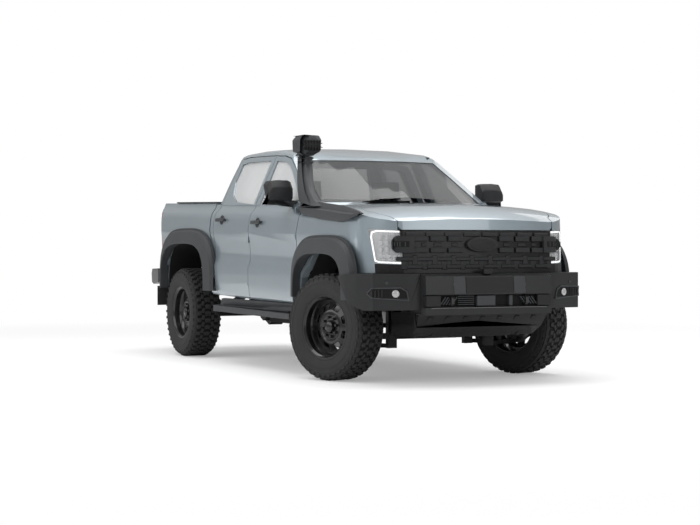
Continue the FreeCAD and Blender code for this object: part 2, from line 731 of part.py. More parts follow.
def skid_plate():
    plate = side_slab("skid_sheet", xz(SKID_SHARES), "-sizes.rail_centre * 0.76",
                      "sizes.rail_centre * 0.76")
    finish(plate, "skid_plate")


# Sculpted shells of the body: shapes in the axle frame, before they are cut into panels

SIDE_SECTION_SHARES = (
    (0.9628, 0.2896), (0.984, 0.3062), (0.9979, 0.3633), (1.0, 0.4297), (0.9766, 0.4645),
    (0.9734, 0.4982), (0.984, 0.5501), (1.0, 0.5968), (0.9894, 0.6487), (0.9713, 0.6772),
    (0.9362, 0.7006), (0.9234, 0.7187),
)
GREENHOUSE_SHARES = (
    (-0.8073, 0.9234, 0.7298, 0.9523, 0.9901), (-0.5963, 0.9319, 0.7415, 0.96, 1.0005),
    (-0.3976, 0.9277, 0.734, 0.9455, 0.9777), (-0.1162, 0.8915, 0.7894, 0.8303, 0.8563),
)
SCREEN_LOW_SHARES = (
    (-0.0795, 0.0), (-0.1529, 0.8085), (-0.7691, 0.9149), (-0.7829, 0.0),
)
SCREEN_HIGH_SHARES = (
    (-0.3196, 0.0), (-0.3716, 0.7234), (-0.7462, 0.734), (-0.7645, 0.0),
)
SCREEN_LEVEL_SHARES = (0.7265, 0.9429)
HOOD_STATION_SHARES = (
    (-0.1957, 0.7327, 0.0114), (0.0, 0.7286, 0.0145), (0.1343, 0.7151, 0.0249),
    (0.1957, 0.6933, 0.0291), (0.2446, 0.6601, 0.0311), (0.2752, 0.6305, 0.0311),
)
NOSE_PLAN_SHARES = (
    (0.2465, 0.0), (0.2416, 0.4255), (0.2312, 0.6809), (0.2156, 0.7926), (0.1865, 0.8915),
    (0.1437, 0.9543), (0.0765, 0.9915), (0.0, 1.0053),
)


def mm(points, *scales):
    return [tuple(a * b for a, b in zip(point, scales)) for point in points]


def raked(x, z):
    """The real height at x of a line whose height at the front axle is z."""
    return z - RAKE * x


def flat_face(points):
    return Part.Face(Part.makePolygon(points + points[:1]))


def flat_quad(a, b, c, d):
    """One flat face where the four corners allow it, or else two."""
    normal = (b - a).cross(c - a)
    if abs(normal.normalize().dot(d - a)) < FLAT_LIMIT:
        return [flat_face([a, b, c, d])]
    # neighbouring shells split alike, from the lower corner or the one nearer the middle
    if (round(b.z, 3), abs(b.y)) < (round(a.z, 3), abs(a.y)):
        return [flat_face([a, b, d]), flat_face([b, c, d])]
    return [flat_face([a, b, c]), flat_face([a, c, d])]


FLAT_LIMIT = 1e-6


def skinned(rings):
    """A solid in flat facets through rings of as many corners, closed at both ends."""
    faces = [flat_face(rings[0]), flat_face(rings[-1])]
    for near, far in zip(rings, rings[1:]):
        for i in range(len(near)):
            j = (i + 1) % len(near)
            faces.extend(flat_quad(near[i], near[j], far[j], far[i]))
    solid = Part.makeSolid(Part.makeShell(faces))
    if solid.Volume < 0:
        solid.reverse()
    return solid


def refined(rows, steps):
    """The rows with more between them, on a smooth run through all of them."""
    result = []
    for i in range(len(rows) - 1):
        before, after = rows[max(i - 1, 0)], rows[min(i + 2, len(rows) - 1)]
        for step in range(steps):
            t = step / steps
            result.append(tuple(
                b + t / 2 * (c - a + t * (2 * a - 5 * b + 4 * c - d + t * (3 * b - a - 3 * c + d)))
                for a, b, c, d in zip(before, rows[i], rows[i + 1], after)))
    return result + [rows[-1]]


def section_points(inset):
    """The half section of the body side at the front axle, moved in by inset, upwards."""
    return [Vector(0, y - inset, z) for y, z in mm(SIDE_SECTION_SHARES, HALF_WIDTH, CAB_HEIGHT)]


def rake_run(low_x, high_x):
    length = high_x - low_x
    return Vector(length, 0, -RAKE * length)


def side_wall(inset, wall, low_x, high_x):
    """The left body side as a wall whose outer face is the section moved in by inset."""
    face = flat_face(section_points(inset) + section_points(inset + wall)[::-1])
    face.translate(Vector(low_x, 0, -RAKE * low_x))
    return face.extrude(rake_run(low_x, high_x))


def side_core(inset, low_x, high_x, top):
    """All that lies inside the section, from side to side, up to top."""
    left = section_points(inset)
    left.append(Vector(0, left[-1].y - size.frame_wall, top))
    face = flat_face(left + [Vector(0, -p.y, p.z) for p in reversed(left)])
    face.translate(Vector(low_x, 0, -RAKE * low_x))
    return face.extrude(rake_run(low_x, high_x))


@functools.lru_cache(maxsize=None)
def greenhouse(inset):
    """The glazed upper body as one solid, moved in by inset, before its screens are cut."""
    rings = []
    rows = mm(GREENHOUSE_SHARES, WHEELBASE, HALF_WIDTH, HALF_WIDTH, CAB_HEIGHT, CAB_HEIGHT)
    steps = 2 if inset < size.skin_wall else 1
    for x, belt, rail, rail_z, centre_z in refined(rows, steps):
        belt_z = raked(x, BELT)
        foot_z = belt_z - size.skin_wall
        lean = (belt - rail) / (rail_z - belt_z)
        foot = Vector(x, belt + lean * (belt_z - foot_z) - inset, foot_z)
        knee_z = rail_z - inset * KNEE_DROP_SHARE
        top = centre_z - inset
        half = [foot] + [Vector(x, (rail - inset) * share, knee_z + (top - knee_z) * rise)
                         for share, rise in CROWN_SHARES]
        rings.append(half + [Vector(p.x, -p.y, p.z) for p in reversed(half[:-1])])
    return skinned(rings)


KNEE_DROP_SHARE = 0.75
CROWN_SHARES = ((1.0, 0.0), (0.965, 0.42), (0.9, 0.68), (0.62, 0.9), (0.0, 1.0))
BELT = CAB_HEIGHT * 0.7187


@functools.lru_cache(maxsize=None)
def screen_volume(inset):
    """Everything between the planes of the windscreen and the rear window."""
    low, high = [level * CAB_HEIGHT for level in SCREEN_LEVEL_SHARES]
    lows = mm(SCREEN_LOW_SHARES, WHEELBASE, HALF_WIDTH)
    highs = mm(SCREEN_HIGH_SHARES, WHEELBASE, HALF_WIDTH)
    wide = HALF_WIDTH * 1.1
    rings = []
    for level in (low - size.skin_wall * 2.5, high + size.skin_wall * 2.5):
        share = (level - low) / (high - low)
        places = [(a[0] + (b[0] - a[0]) * share, a[1] + (b[1] - a[1]) * share)
                  for a, b in zip(lows, highs)]
        front = arc_points(places[0][0] - inset, places[1][0] - inset, places[1][1], wide)
        back = arc_points(places[3][0] + inset, places[2][0] + inset, places[2][1], wide)
        rings.append([Vector(x, y, level) for y, x in front + back[::-1]])
    return skinned(rings)


ARC_SHARES = (-1.0, -0.75, -0.5, -0.25, 0.0, 0.25, 0.5, 0.75, 1.0)


def arc_points(middle, side, side_y, wide):
    """Points out to wide, on the arc through the middle and one side point."""
    sag = middle - side
    radius = (side_y ** 2 + sag ** 2) / (2 * sag)
    return [(wide * share, middle - radius
             + math.copysign(math.sqrt(radius ** 2 - (wide * share) ** 2), radius)) for share in ARC_SHARES]


@functools.lru_cache(maxsize=None)
def nose_volume(inset):
    """The front quarter of the body inside its nose, side and bonnet surfaces."""
    turned = [row + (nose,) for row, nose in zip(mm(NOSE_PLAN_SHARES, WHEELBASE, HALF_WIDTH), NOSE_TURN_SHARES)]
    plan = [Vector(x - inset * nose, y - inset * (1 - nose), 0) for x, y, nose in refined(turned, 2)]
    plan.append(Vector(-WHEELBASE * 0.19, plan[-1].y, 0))
    floor = flat_face([Vector(p.x, -p.y, 0) for p in reversed(plan[1:])] + plan)
    floor.translate(Vector(NOSE_LEAN_SHARE * CAB_HEIGHT * 0.5, 0, CAB_HEIGHT * 0.28))
    tall = CAB_HEIGHT * 0.52
    block_shape = floor.extrude(Vector(-NOSE_LEAN_SHARE * tall, 0, tall))
    rings = []
    low_z = CAB_HEIGHT * 0.28
    wide = HALF_WIDTH * 1.05
    for x, centre_z, drop in refined(mm(HOOD_STATION_SHARES, WHEELBASE, CAB_HEIGHT, CAB_HEIGHT), 2):
        top = centre_z - inset * 0.7
        arc = [Vector(x, y, z) for y, z in arc_points(top, top - drop, HALF_WIDTH * 0.83, wide)]
        rings.append([Vector(x, -wide, low_z)] + arc + [Vector(x, wide, low_z)])
    crown = skinned(rings)
    sides = side_core(inset, -WHEELBASE * 0.19, WHEELBASE * 0.26, CAB_HEIGHT * 0.8)
    return block_shape.common(crown).common(sides)


NOSE_TURN_SHARES = (1.0, 1.0, 0.9, 0.7, 0.5, 0.2, 0.0, 0.0)
NOSE_LEAN_SHARE = 0.06


def side_prism(shares, low_y, high_y):
    """An outline in the side view, as shares, carried across from low_y to high_y."""
    points = [Vector(x, low_y, z) for x, z in mm(shares, WHEELBASE, CAB_HEIGHT)]
    return flat_face(points).extrude(Vector(0, high_y - low_y, 0))


def front_prism(shares, low_x, high_x, gap=0):
    points = [Vector(low_x, y, z) for y, z in mm(shares, HALF_WIDTH, CAB_HEIGHT)]
    face = flat_face(points)
    if gap:
        face = Part.Face(face.OuterWire.makeOffset2D(-gap, 2))
    return face.extrude(Vector(high_x - low_x, 0, 0))


def plan_prism(shares, low_z, high_z, gap=0):
    points = [Vector(x, y, low_z) for x, y in mm(shares, WHEELBASE, HALF_WIDTH)]
    face = flat_face(points)
    if gap:
        face = Part.Face(face.OuterWire.makeOffset2D(gap, 2))
    return face.extrude(Vector(0, 0, high_z - low_z))


def grown(shares, gap, low_y, high_y):
    """The side outline grown all round by gap."""
    points = [Vector(x, low_y, z) for x, z in mm(shares, WHEELBASE, CAB_HEIGHT)]
    wire = flat_face(points).OuterWire.makeOffset2D(gap, 2)
    return Part.Face(wire).extrude(Vector(0, high_y - low_y, 0))


def box_shape(low, high):
    return Part.makeBox(high.x - low.x, high.y - low.y, high.z - low.z, low)


def to_right(shape):
    return shape.mirror(Vector(0, 0, 0), Vector(0, 1, 0))


# Door outlines: X, Z, the Y of the skin there and how far the edge leans forward inwards

FRONT_DOOR_SHARES = (
    (-0.2043, 0.3051, 0.984, 0.0), (-0.1786, 0.575, 0.9894, 0.0),
    (-0.1679, 0.6508, 0.9894, 0.0), (-0.1679, 0.7006, 0.9362, 0.0),
    (-0.181, 0.7255, 0.9043, 0.0), (-0.2691, 0.8251, 0.8085, 0.0),
    (-0.3226, 0.8869, 0.766, 0.0), (-0.3768, 0.9357, 0.734, 0.0), (-0.422, 0.9507, 0.734, 0.0),
    (-0.4749, 0.9559, 0.7372, 0.3), (-0.481, 0.7784, 0.8862, 0.2),
    (-0.4875, 0.7327, 0.9234, 0.14), (-0.4963, 0.6004, 0.9979, 0.1),
    (-0.4963, 0.3051, 0.984, 0.1),
)
REAR_DOOR_SHARES = (
    (-0.4988, 0.3051, 0.984, 0.1), (-0.4988, 0.6004, 0.9979, 0.1),
    (-0.4899, 0.7327, 0.9234, 0.14), (-0.4835, 0.7784, 0.8862, 0.2),
    (-0.4774, 0.9559, 0.7372, 0.3), (-0.6758, 0.9632, 0.7372, 0.0),
    (-0.7254, 0.959, 0.734, 0.33), (-0.7355, 0.8511, 0.8298, 0.25),
    (-0.7416, 0.7525, 0.9149, 0.15), (-0.7615, 0.6902, 0.9681, 0.12),
    (-0.7615, 0.5449, 0.984, 0.12), (-0.7462, 0.3633, 0.9979, 0.12),
    (-0.7364, 0.3051, 0.984, 0.12),
)
FRONT_WINDOW_SHARES = (
    (-0.2141, 0.7338), (-0.2859, 0.8173), (-0.3394, 0.878), (-0.37, 0.9071), (-0.4067, 0.9263),
    (-0.4618, 0.9331), (-0.4618, 0.7317),
)
REAR_WINDOW_SHARES = (
    (-0.504, 0.7348), (-0.5003, 0.9362), (-0.6667, 0.9403), (-0.7089, 0.9341),
    (-0.7125, 0.8511), (-0.6844, 0.7846), (-0.6422, 0.7535),
)
SCREEN_SHARES = (
    (-0.8, 0.7327), (0.8, 0.7327), (0.6649, 0.9279), (-0.6649, 0.9279),
)
BACKLIGHT_SHARES = (
    (-0.7021, 0.7784), (0.7021, 0.7784), (0.6383, 0.9279), (-0.6383, 0.9279),
)


def door_region(shares, grow):
    """The space that a door fills, with shut faces that lean clear of its swing."""
    near, far = HALF_WIDTH * 0.5, HALF_WIDTH * 1.2
    rings = []
    for level in (near, far):
        points = []
        for x, z, skin, lean in mm(shares, WHEELBASE, CAB_HEIGHT, HALF_WIDTH, 1):
            points.append(Vector(x - lean * (level - skin), level, z))
        if grow:
            wire = flat_face(points).OuterWire.makeOffset2D(grow, 2)
            points = from_nearest([vertex.Point for vertex in wire.OrderedVertexes], points[0])
        rings.append(points)
    return skinned(rings)


def from_nearest(points, spot):
    """The same loop of points, begun at the one nearest to spot."""
    first = min(range(len(points)), key=lambda i: (points[i] - spot).Length)
    return points[first:] + points[:first]


ABOVE_BELT_SHARES = (
    (-0.1223, 0.7208), (-0.1223, 0.986), (-0.8073, 0.986), (-0.8073, 0.7452),
)


class Shells:
    """The shells that several panels are cut from, each made once."""

    def __init__(self):
        self.upper_outer = greenhouse(0).common(screen_volume(0))
        self.upper_inner = greenhouse(size.frame_wall).common(screen_volume(size.frame_wall))
        self.upper = self.upper_outer.cut(self.upper_inner)
        self.door_blank = self.make_door_blank()
        deep = size.glass_depth + size.glass_wall
        self.pane = greenhouse(size.glass_depth).cut(greenhouse(deep))
        self.front_hinge = hinge_parts(FRONT_HINGE_X, FRONT_HINGE_LEVELS, FRONT_ARM_SHARES)
        self.rear_hinge = hinge_parts(REAR_HINGE_X, REAR_HINGE_LEVELS, REAR_ARM_SHARES)
        self.front_outer = nose_volume(0)
        self.front = self.front_outer.cut(nose_volume(size.skin_wall))

    def make_door_blank(self):
        far = HALF_WIDTH * 1.2
        above = side_prism(ABOVE_BELT_SHARES, HALF_WIDTH * 0.3, far)
        upper = self.upper.common(above)
        lower = side_wall(0, size.door_wall, -WHEELBASE * 0.81, -WHEELBASE * 0.13)
        return upper.fuse(lower)


# Hinges: where each axis stands along the wheelbase, and the heights of its two arms
FRONT_HINGE_X = -0.1804
REAR_HINGE_X = -0.5015
FRONT_HINGE_LEVELS = (0.59, 0.698)
REAR_HINGE_LEVELS = (0.3814, 0.576)
FRONT_ARM_SHARES = (
    (-0.1817, 0.9915), (-0.1792, 0.9915), (-0.1792, 0.9298), (-0.1606, 0.8872),
    (-0.1606, 0.8745), (-0.1817, 0.917),
)
REAR_ARM_SHARES = (
    (-0.5028, 0.9915), (-0.5003, 0.9915), (-0.5003, 0.8574), (-0.5028, 0.8574),
)


def hinge_parts(axis_x, levels, arm_shares):
    """What the arms cut from a door, and the arms with their pins that join the cab."""
    axis_y = HALF_WIDTH - size.hinge_inset
    radius = size.hinge_pin_radius
    half = size.hinge_arm_height / 2
    rooms, arms = [], []
    for level in levels:
        middle = Vector(WHEELBASE * axis_x, axis_y, CAB_HEIGHT * level)
        reach = half + size.swing_gap
        rooms.append(box_shape(middle + Vector(-radius - size.swing_gap, -HALF_WIDTH * 0.3, -reach),
                               middle + Vector(WHEELBASE * 0.03, radius * 1.25, reach)))
        foot = middle - Vector(0, 0, half * 2)
        rooms.append(Part.makeCylinder(radius + size.hinge_clearance, half * 4 + size.hinge_clearance, foot))
        arms.append(Part.makeCylinder(radius, half * 4, foot))
        arms.append(plan_prism(arm_shares, middle.z - half, middle.z + half))
    return rooms[0].multiFuse(rooms[1:]), arms[0].multiFuse(arms[1:])


def doors(shells):
    """Each door is a whole pressed shell with its window frame, hung on its front edge."""
    rows = (("front", FRONT_DOOR_SHARES, FRONT_WINDOW_SHARES, shells.front_hinge),
            ("rear", REAR_DOOR_SHARES, REAR_WINDOW_SHARES, shells.rear_hinge))
    beside_roof = box_shape(Vector(-WHEELBASE, size.roof_half_width + size.shut_gap, 0),
                            Vector(0, HALF_WIDTH * 1.2, CAB_HEIGHT * 1.1))
    # the rear door's upper front corner swings in past the roof's edge as the door opens
    corner = box_shape(Vector(WHEELBASE * REAR_HINGE_X, 0, 0),
                       Vector(0, size.roof_half_width + size.shut_gap + size.door_turn_in, CAB_HEIGHT * 1.1))
    for end, outline, window, hinge in rows:
        hole = side_prism(window, 0, HALF_WIDTH * 1.2)
        door = shells.door_blank.common(door_region(outline, 0)).common(beside_roof).cut(hole)
        if end == "rear":
            door = door.cut(corner)
        door = door.cut(hinge[0])
        opening = grown(window, -size.glass_gap, HALF_WIDTH * 0.3, HALF_WIDTH * 1.2)
        pane = shells.pane.common(opening)
        for side in ("left", "right"):
            for label, shape in ((f"{end}_door_{side}", door), (f"{end}_door_glass_{side}", pane)):
                keep_shape(label, shape if side == "left" else to_right(shape))


BELOW_BELT_SHARES = (
    (0.0, 0.6487), (0.0, 0.7213), (-0.8073, 0.7504), (-0.8073, 0.6487),
)
QUARTER_SHARES = (
    (-0.7034, 0.2595), (-0.7034, 0.7483), (-0.7869, 0.7483), (-0.7869, 0.2595),
)
ROCKER_SHARES = (
    (-0.211, 0.2595), (-0.211, 0.2968), (-0.7645, 0.3166), (-0.7645, 0.2595),
)
SILL_SHARES = (
    (-0.1468, 0.2968), (-0.1468, 0.3399), (-0.7829, 0.3399), (-0.7829, 0.3176),
)
B_PILLAR_SHARES = (
    (-0.4771, 0.3114), (-0.4709, 0.7265), (-0.4618, 0.9549), (-0.4954, 0.958),
    (-0.5076, 0.7265), (-0.5199, 0.3321),
)
CANT_RAIL_SHARES = (
    (-0.3517, 0.9549), (-0.474, 0.9606), (-0.6728, 0.9678), (-0.7339, 0.9642),
    (-0.7339, 1.0327), (-0.3517, 1.0327),
)
ROOF_PLAN_SHARES = (
    (-0.3119, -0.6681), (-0.3119, 0.6681), (-0.7462, 0.6681), (-0.7462, -0.6681),
)
RAIL_PLAN_SHARES = (
    (-0.3517, 0.6383), (-0.3517, 0.9574), (-0.7462, 0.9574), (-0.7462, 0.6383),
)


def cab_frame(shells):
    """Pillars, rails, sills and rear wall round the door openings, and the roof pressing."""
    tall = CAB_HEIGHT * 1.1
    wide = HALF_WIDTH * 1.2
    left = HALF_WIDTH * 0.35
    roof_box = plan_prism(ROOF_PLAN_SHARES, CAB_HEIGHT * 0.933, tall)
    keep_shape("roof", shells.upper.common(roof_box))
    frame = shells.upper.cut(roof_box)
    frame = frame.cut(front_prism(SCREEN_SHARES, -WHEELBASE * 0.36, 0))
    frame = frame.cut(front_prism(BACKLIGHT_SHARES, -WHEELBASE * 0.85, -WHEELBASE * 0.7))
    below = side_prism(BELOW_BELT_SHARES, -wide, wide)
    middle = box_shape(Vector(-WHEELBASE, -HALF_WIDTH * 0.879, 0), Vector(0, HALF_WIDTH * 0.879, tall))
    frame = frame.cut(below.cut(middle))
    frame = frame.cut(box_shape(Vector(-WHEELBASE * 0.14 - size.shut_gap, -wide, 0),
                                Vector(0, wide, CAB_HEIGHT * 0.7187)))
    lower_side = side_wall(0, size.skin_wall, -WHEELBASE * 0.787, -WHEELBASE * 0.2)
    regions = [door_region(FRONT_DOOR_SHARES, size.shut_gap),
               door_region(REAR_DOOR_SHARES, size.shut_gap)]
    outer = [lower_side.common(side_prism(QUARTER_SHARES, 0, wide)),
             lower_side.common(side_prism(ROCKER_SHARES, 0, wide))]
    for region in regions:
        frame = frame.cut(region).cut(to_right(region))
        outer = [part.cut(region) for part in outer]
    sill = side_prism(SILL_SHARES, HALF_WIDTH * 0.8, HALF_WIDTH * 0.855)
    setback = size.pillar_setback
    pillar_zone = side_prism(B_PILLAR_SHARES, left, wide)
    b_upper = greenhouse(setback).cut(greenhouse(setback + size.pillar_wall)).common(pillar_zone)
    b_lower = side_wall(size.door_wall + size.shut_gap * 2, size.pillar_wall,
                        -WHEELBASE * 0.55, -WHEELBASE * 0.45).common(pillar_zone)
    deep = setback + size.pillar_wall
    cant = greenhouse(0).cut(greenhouse(deep)).common(side_prism(CANT_RAIL_SHARES, left, wide))
    cant = cant.common(plan_prism(RAIL_PLAN_SHARES, CAB_HEIGHT * 0.8, tall)).cut(
        shells.upper.common(roof_box))
    hinge_post = side_core(size.skin_wall + size.glass_gap, -WHEELBASE * 0.2,
                           -WHEELBASE * 0.12, CAB_HEIGHT * 0.74)
    # the post stands behind the wing, whose inner face it carries below the shoulder
    post_room = box_shape(Vector(-WHEELBASE * 0.165, HALF_WIDTH * 0.8, CAB_HEIGHT * 0.3),
                          Vector(-WHEELBASE * 0.142, HALF_WIDTH * 0.89, CAB_HEIGHT * 0.74))
    wing_seat = box_shape(Vector(-WHEELBASE * 0.165, HALF_WIDTH * 0.8, CAB_HEIGHT * 0.3),
                          Vector(-WHEELBASE * 0.142, HALF_WIDTH, CAB_HEIGHT * 0.62))
    hinge_post = hinge_post.common(post_room.fuse(wing_seat)).cut(regions[0])
    arms = [shells.front_hinge[1], shells.rear_hinge[1]]
    for part in outer + [sill, b_upper, b_lower, cant, hinge_post] + arms:
        frame = frame.fuse(part).fuse(to_right(part))
    keep_shape("cab_frame", frame)
    return frame


def cab_glass(shells):
    depth = size.glass_depth
    near = greenhouse(0).common(screen_volume(depth))
    far = screen_volume(depth + size.glass_wall)
    sheet_shape = near.cut(far)
    front = sheet_shape.common(front_prism(SCREEN_SHARES, -WHEELBASE * 0.36, 0, size.glass_gap))
    back = sheet_shape.common(front_prism(
        BACKLIGHT_SHARES, -WHEELBASE * 0.85, -WHEELBASE * 0.7, size.glass_gap))
    keep_shape("cab_glass", Part.makeCompound([front, back]))


FIREWALL_SHARES = (
    (-0.1346, 0.3269), (-0.1346, 0.6694), (-0.0459, 0.6694), (-0.0459, 0.6746),
    (-0.1315, 0.6746), (-0.1422, 0.6924), (-0.1422, 0.3399), (-0.7645, 0.3399),
    (-0.7645, 0.6902), (-0.7783, 0.6902), (-0.7783, 0.3269),
)


HOOD_HINGE_PLACE = (-0.1, 0.7095)


def hood_hinge():
    """The room that the bonnet leaves round a hinge bracket, and the bracket with its pin."""
    share_x, share_z = HOOD_HINGE_PLACE
    centre = Vector(WHEELBASE * share_x, HALF_WIDTH * 0.78, CAB_HEIGHT * share_z)
    radius = size.hinge_pin_radius * 1.5
    gap = size.swing_gap
    room = box_shape(centre - Vector(WHEELBASE * 0.05, radius + gap, CAB_HEIGHT * 0.05),
                     centre + Vector(radius + gap, radius + gap, radius + gap))
    run = radius * 10
    foot = centre - Vector(0, run / 2, 0)
    room = room.fuse(Part.makeCylinder(radius + size.hinge_clearance, run + gap, foot - Vector(0, gap / 2, 0),
                                       Vector(0, 1, 0)))
    bracket = box_shape(Vector(centre.x - radius, centre.y - radius, CAB_HEIGHT * 0.672),
                        centre + Vector(radius, radius, radius))
    return room, bracket.fuse(Part.makeCylinder(radius, run, foot, Vector(0, 1, 0)))


def cab_floor():
    """Floor pan with the bulkhead and the lower rear wall, folded from one sheet profile."""
    pan = side_slab("floor_pan", xz(FIREWALL_SHARES), "-sizes.body_half_width * 0.799",
                    "sizes.body_half_width * 0.799")
    doc.recompute()
    bracket = hood_hinge()[1]
    keep_shape("cab_floor", pan.Shape.fuse(bracket).fuse(to_right(bracket)))


HOOD_PLAN_SHARES = (
    (-0.1208, -0.8383), (-0.0765, -0.5957), (-0.0459, -0.3191), (-0.0336, 0.0),
    (-0.0459, 0.3191), (-0.0765, 0.5957), (-0.1208, 0.8383), (0.1498, 0.8383), (0.1789, 0.8),
    (0.2055, 0.7383), (0.2752, 0.6809), (0.2752, -0.6809), (0.2055, -0.7383), (0.1789, -0.8),
    (0.1498, -0.8383),
)
NOSE_FRONT_SHARES = (
    (-0.6915, 0.6113), (0.6915, 0.6113), (0.7447, 0.6383), (1.0638, 0.6383), (1.0638, 0.8303),
    (-1.0638, 0.8303), (-1.0638, 0.6383), (-0.7447, 0.6383),
)
LAMP_SHARES = (
    (0.6809, 0.4764), (0.8723, 0.4805), (0.9043, 0.6155), (0.7064, 0.6092),
)
GRILLE_SHARES = (
    (-0.8723, 0.4416), (0.8723, 0.4416), (0.8745, 0.4785), (0.6766, 0.4743), (0.7021, 0.6082),
    (-0.7021, 0.6082), (-0.6766, 0.4743), (-0.8745, 0.4785),
)
FRONT_ARCH_SHARES = (
    (-0.1437, 0.2595), (-0.1376, 0.4152), (-0.0627, 0.5397), (0.0657, 0.5345),
    (0.1208, 0.4463), (0.1437, 0.3633), (0.1437, 0.2595),
)
REAR_ARCH_SHARES = (
    (-0.8073, 0.2595), (-0.8073, 0.3996), (-0.9174, 0.5631), (-1.0612, 0.576),
    (-1.1315, 0.5293), (-1.1621, 0.4411), (-1.1743, 0.2595),
)
WING_SHARES = (
    (-0.2015, 0.2802), (-0.2015, 0.3051), (-0.1758, 0.575), (-0.1651, 0.6508),
    (-0.1651, 0.7784), (0.2752, 0.7784), (0.2752, 0.4421), (0.1713, 0.4421), (0.1468, 0.3633),
    (0.1468, 0.2595),
)


def front_panels(shells):
    """Bonnet, wings, lamp units and grille, all cut from one shell of the nose."""
    tall = CAB_HEIGHT
    wide = HALF_WIDTH * 1.2
    far = WHEELBASE * 0.3
    hood_zone = plan_prism(HOOD_PLAN_SHARES, CAB_HEIGHT * 0.55, tall)
    front_zone = front_prism(NOSE_FRONT_SHARES, -WHEELBASE * 0.2, far)
    hood = shells.front.common(hood_zone).common(front_zone)
    room = hood_hinge()[0]
    keep_shape("hood", hood.cut(room).cut(to_right(room)))
    hood_room = plan_prism(HOOD_PLAN_SHARES, CAB_HEIGHT * 0.55, tall, size.hood_gap)
    above = box_shape(Vector(-WHEELBASE, -wide, CAB_HEIGHT * 0.608),
                      Vector(far, wide, tall))
    lamp_zone = front_prism(LAMP_SHARES, WHEELBASE * 0.12, far)
    grille_zone = front_prism(GRILLE_SHARES, WHEELBASE * 0.12, far)
    nose_face = nose_volume(0).cut(nose_volume(size.skin_wall * 2))
    lamp = nose_face.common(lamp_zone)
    keep_shape("headlamps", Part.makeCompound([lamp, to_right(lamp)]))
    keep_shape("grille", shells.front.common(grille_zone).cut(lamp).cut(to_right(lamp)))
    wing = shells.front.common(side_prism(WING_SHARES, 0, wide))
    wing = wing.cut(hood_room.common(above)).cut(lamp_zone).cut(grille_zone)
    wing = wing.cut(side_prism(FRONT_ARCH_SHARES, 0, wide))
    wing = wing.cut(box_shape(Vector(-WHEELBASE * 0.2, 0, 0),
                              Vector(-WHEELBASE * 0.14, HALF_WIDTH * 0.9, tall)))
    wing = wing.cut(box_shape(Vector(-WHEELBASE * 0.2, 0, 0),
                              Vector(-WHEELBASE * 0.105, HALF_WIDTH * 0.84, tall)))
    wing = wing.common(box_shape(Vector(-WHEELBASE, HALF_WIDTH * 0.69, 0), Vector(far, wide, tall)))
    wing = max(wing.Solids, key=lambda solid: solid.Volume)
    keep_shape("fenders", Part.makeCompound([wing, to_right(wing)]))


FLARE_OUT_SHARES = (
    (-0.1927, 0.2906), (-0.1896, 0.3633), (-0.1725, 0.5148), (-0.1413, 0.5812),
    (-0.0979, 0.6066), (0.0673, 0.5983), (0.1223, 0.5449), (0.1801, 0.4432), (0.1835, 0.3633),
    (0.1835, 0.2906),
)
FLARE_IN_SHARES = (
    (-0.1468, 0.2906), (-0.1437, 0.3944), (-0.0612, 0.5361), (0.063, 0.5309), (0.119, 0.4447),
    (0.1462, 0.3321), (0.1462, 0.2906),
)
REAR_FLARE_OUT_SHARES = (
    (-0.7339, 0.2906), (-0.7437, 0.3383), (-0.8492, 0.5771), (-0.9263, 0.6424),
    (-1.0798, 0.6523), (-1.1621, 0.602), (-1.2018, 0.4774), (-1.2116, 0.2906),
)
REAR_FLARE_IN_SHARES = (
    (-0.7951, 0.2906), (-0.8095, 0.3944), (-0.919, 0.5579), (-1.0602, 0.5708),
    (-1.1315, 0.5241), (-1.159, 0.4411), (-1.1719, 0.2906),
)


def flare(out_shares, in_shares, centre_x):
    """A moulded arch: slopes out from the panel, then a flat band round the opening."""
    near = HALF_WIDTH * 0.955
    far = size.flare_half_width
    centre = Vector(centre_x, near, CAB_HEIGHT * 0.33)
    base = [Vector(x, near, z) for x, z in mm(out_shares, WHEELBASE, CAB_HEIGHT)]
    crest = [centre + (p - centre) * FLARE_CREST_SHARE + Vector(0, far - near, 0) for p in base]
    solid = skinned([base, crest]).cut(side_prism(in_shares, 0, far * 1.2))
    foot = box_shape(Vector(-WHEELBASE * 2, 0, 0),
                     Vector(WHEELBASE, far * 2, CAB_HEIGHT * 0.334))
    return solid.cut(foot)


FLARE_CREST_SHARE = 0.88


def flares(shells):
    body_side = side_core(-size.glass_gap, -WHEELBASE * 1.3, WHEELBASE * 0.25, CAB_HEIGHT * 0.74)
    plan = nose_volume(-size.glass_gap)
    over_bumper = box_shape(Vector(WHEELBASE * 0.11, 0, 0),
                            Vector(WHEELBASE, HALF_WIDTH * 2, CAB_HEIGHT * 0.4422))
    front = flare(FLARE_OUT_SHARES, FLARE_IN_SHARES, 0).cut(plan).cut(over_bumper)
    rear = flare(REAR_FLARE_OUT_SHARES, REAR_FLARE_IN_SHARES, -WHEELBASE).cut(body_side)
    keep_shape("front_flares", Part.makeCompound([front, to_right(front)]))
    keep_shape("rear_flares", Part.makeCompound([rear, to_right(rear)]))


def arch_liners():
    """Thin inner arches over the front wheels."""
    wall = size.rail_wall
    near, far = HALF_WIDTH * 0.71, HALF_WIDTH * 0.93
    outer = grown(FLARE_IN_SHARES, wall, near, far)
    inner = side_prism(FLARE_IN_SHARES, 0, far * 1.2)
    liner = outer.cut(inner)
    liner = liner.common(box_shape(Vector(-WHEELBASE * 0.133, 0, CAB_HEIGHT * 0.4),
                                   Vector(WHEELBASE * 0.2, far * 2, CAB_HEIGHT)))
    keep_shape("arch_liners", Part.makeCompound([liner, to_right(liner)]))


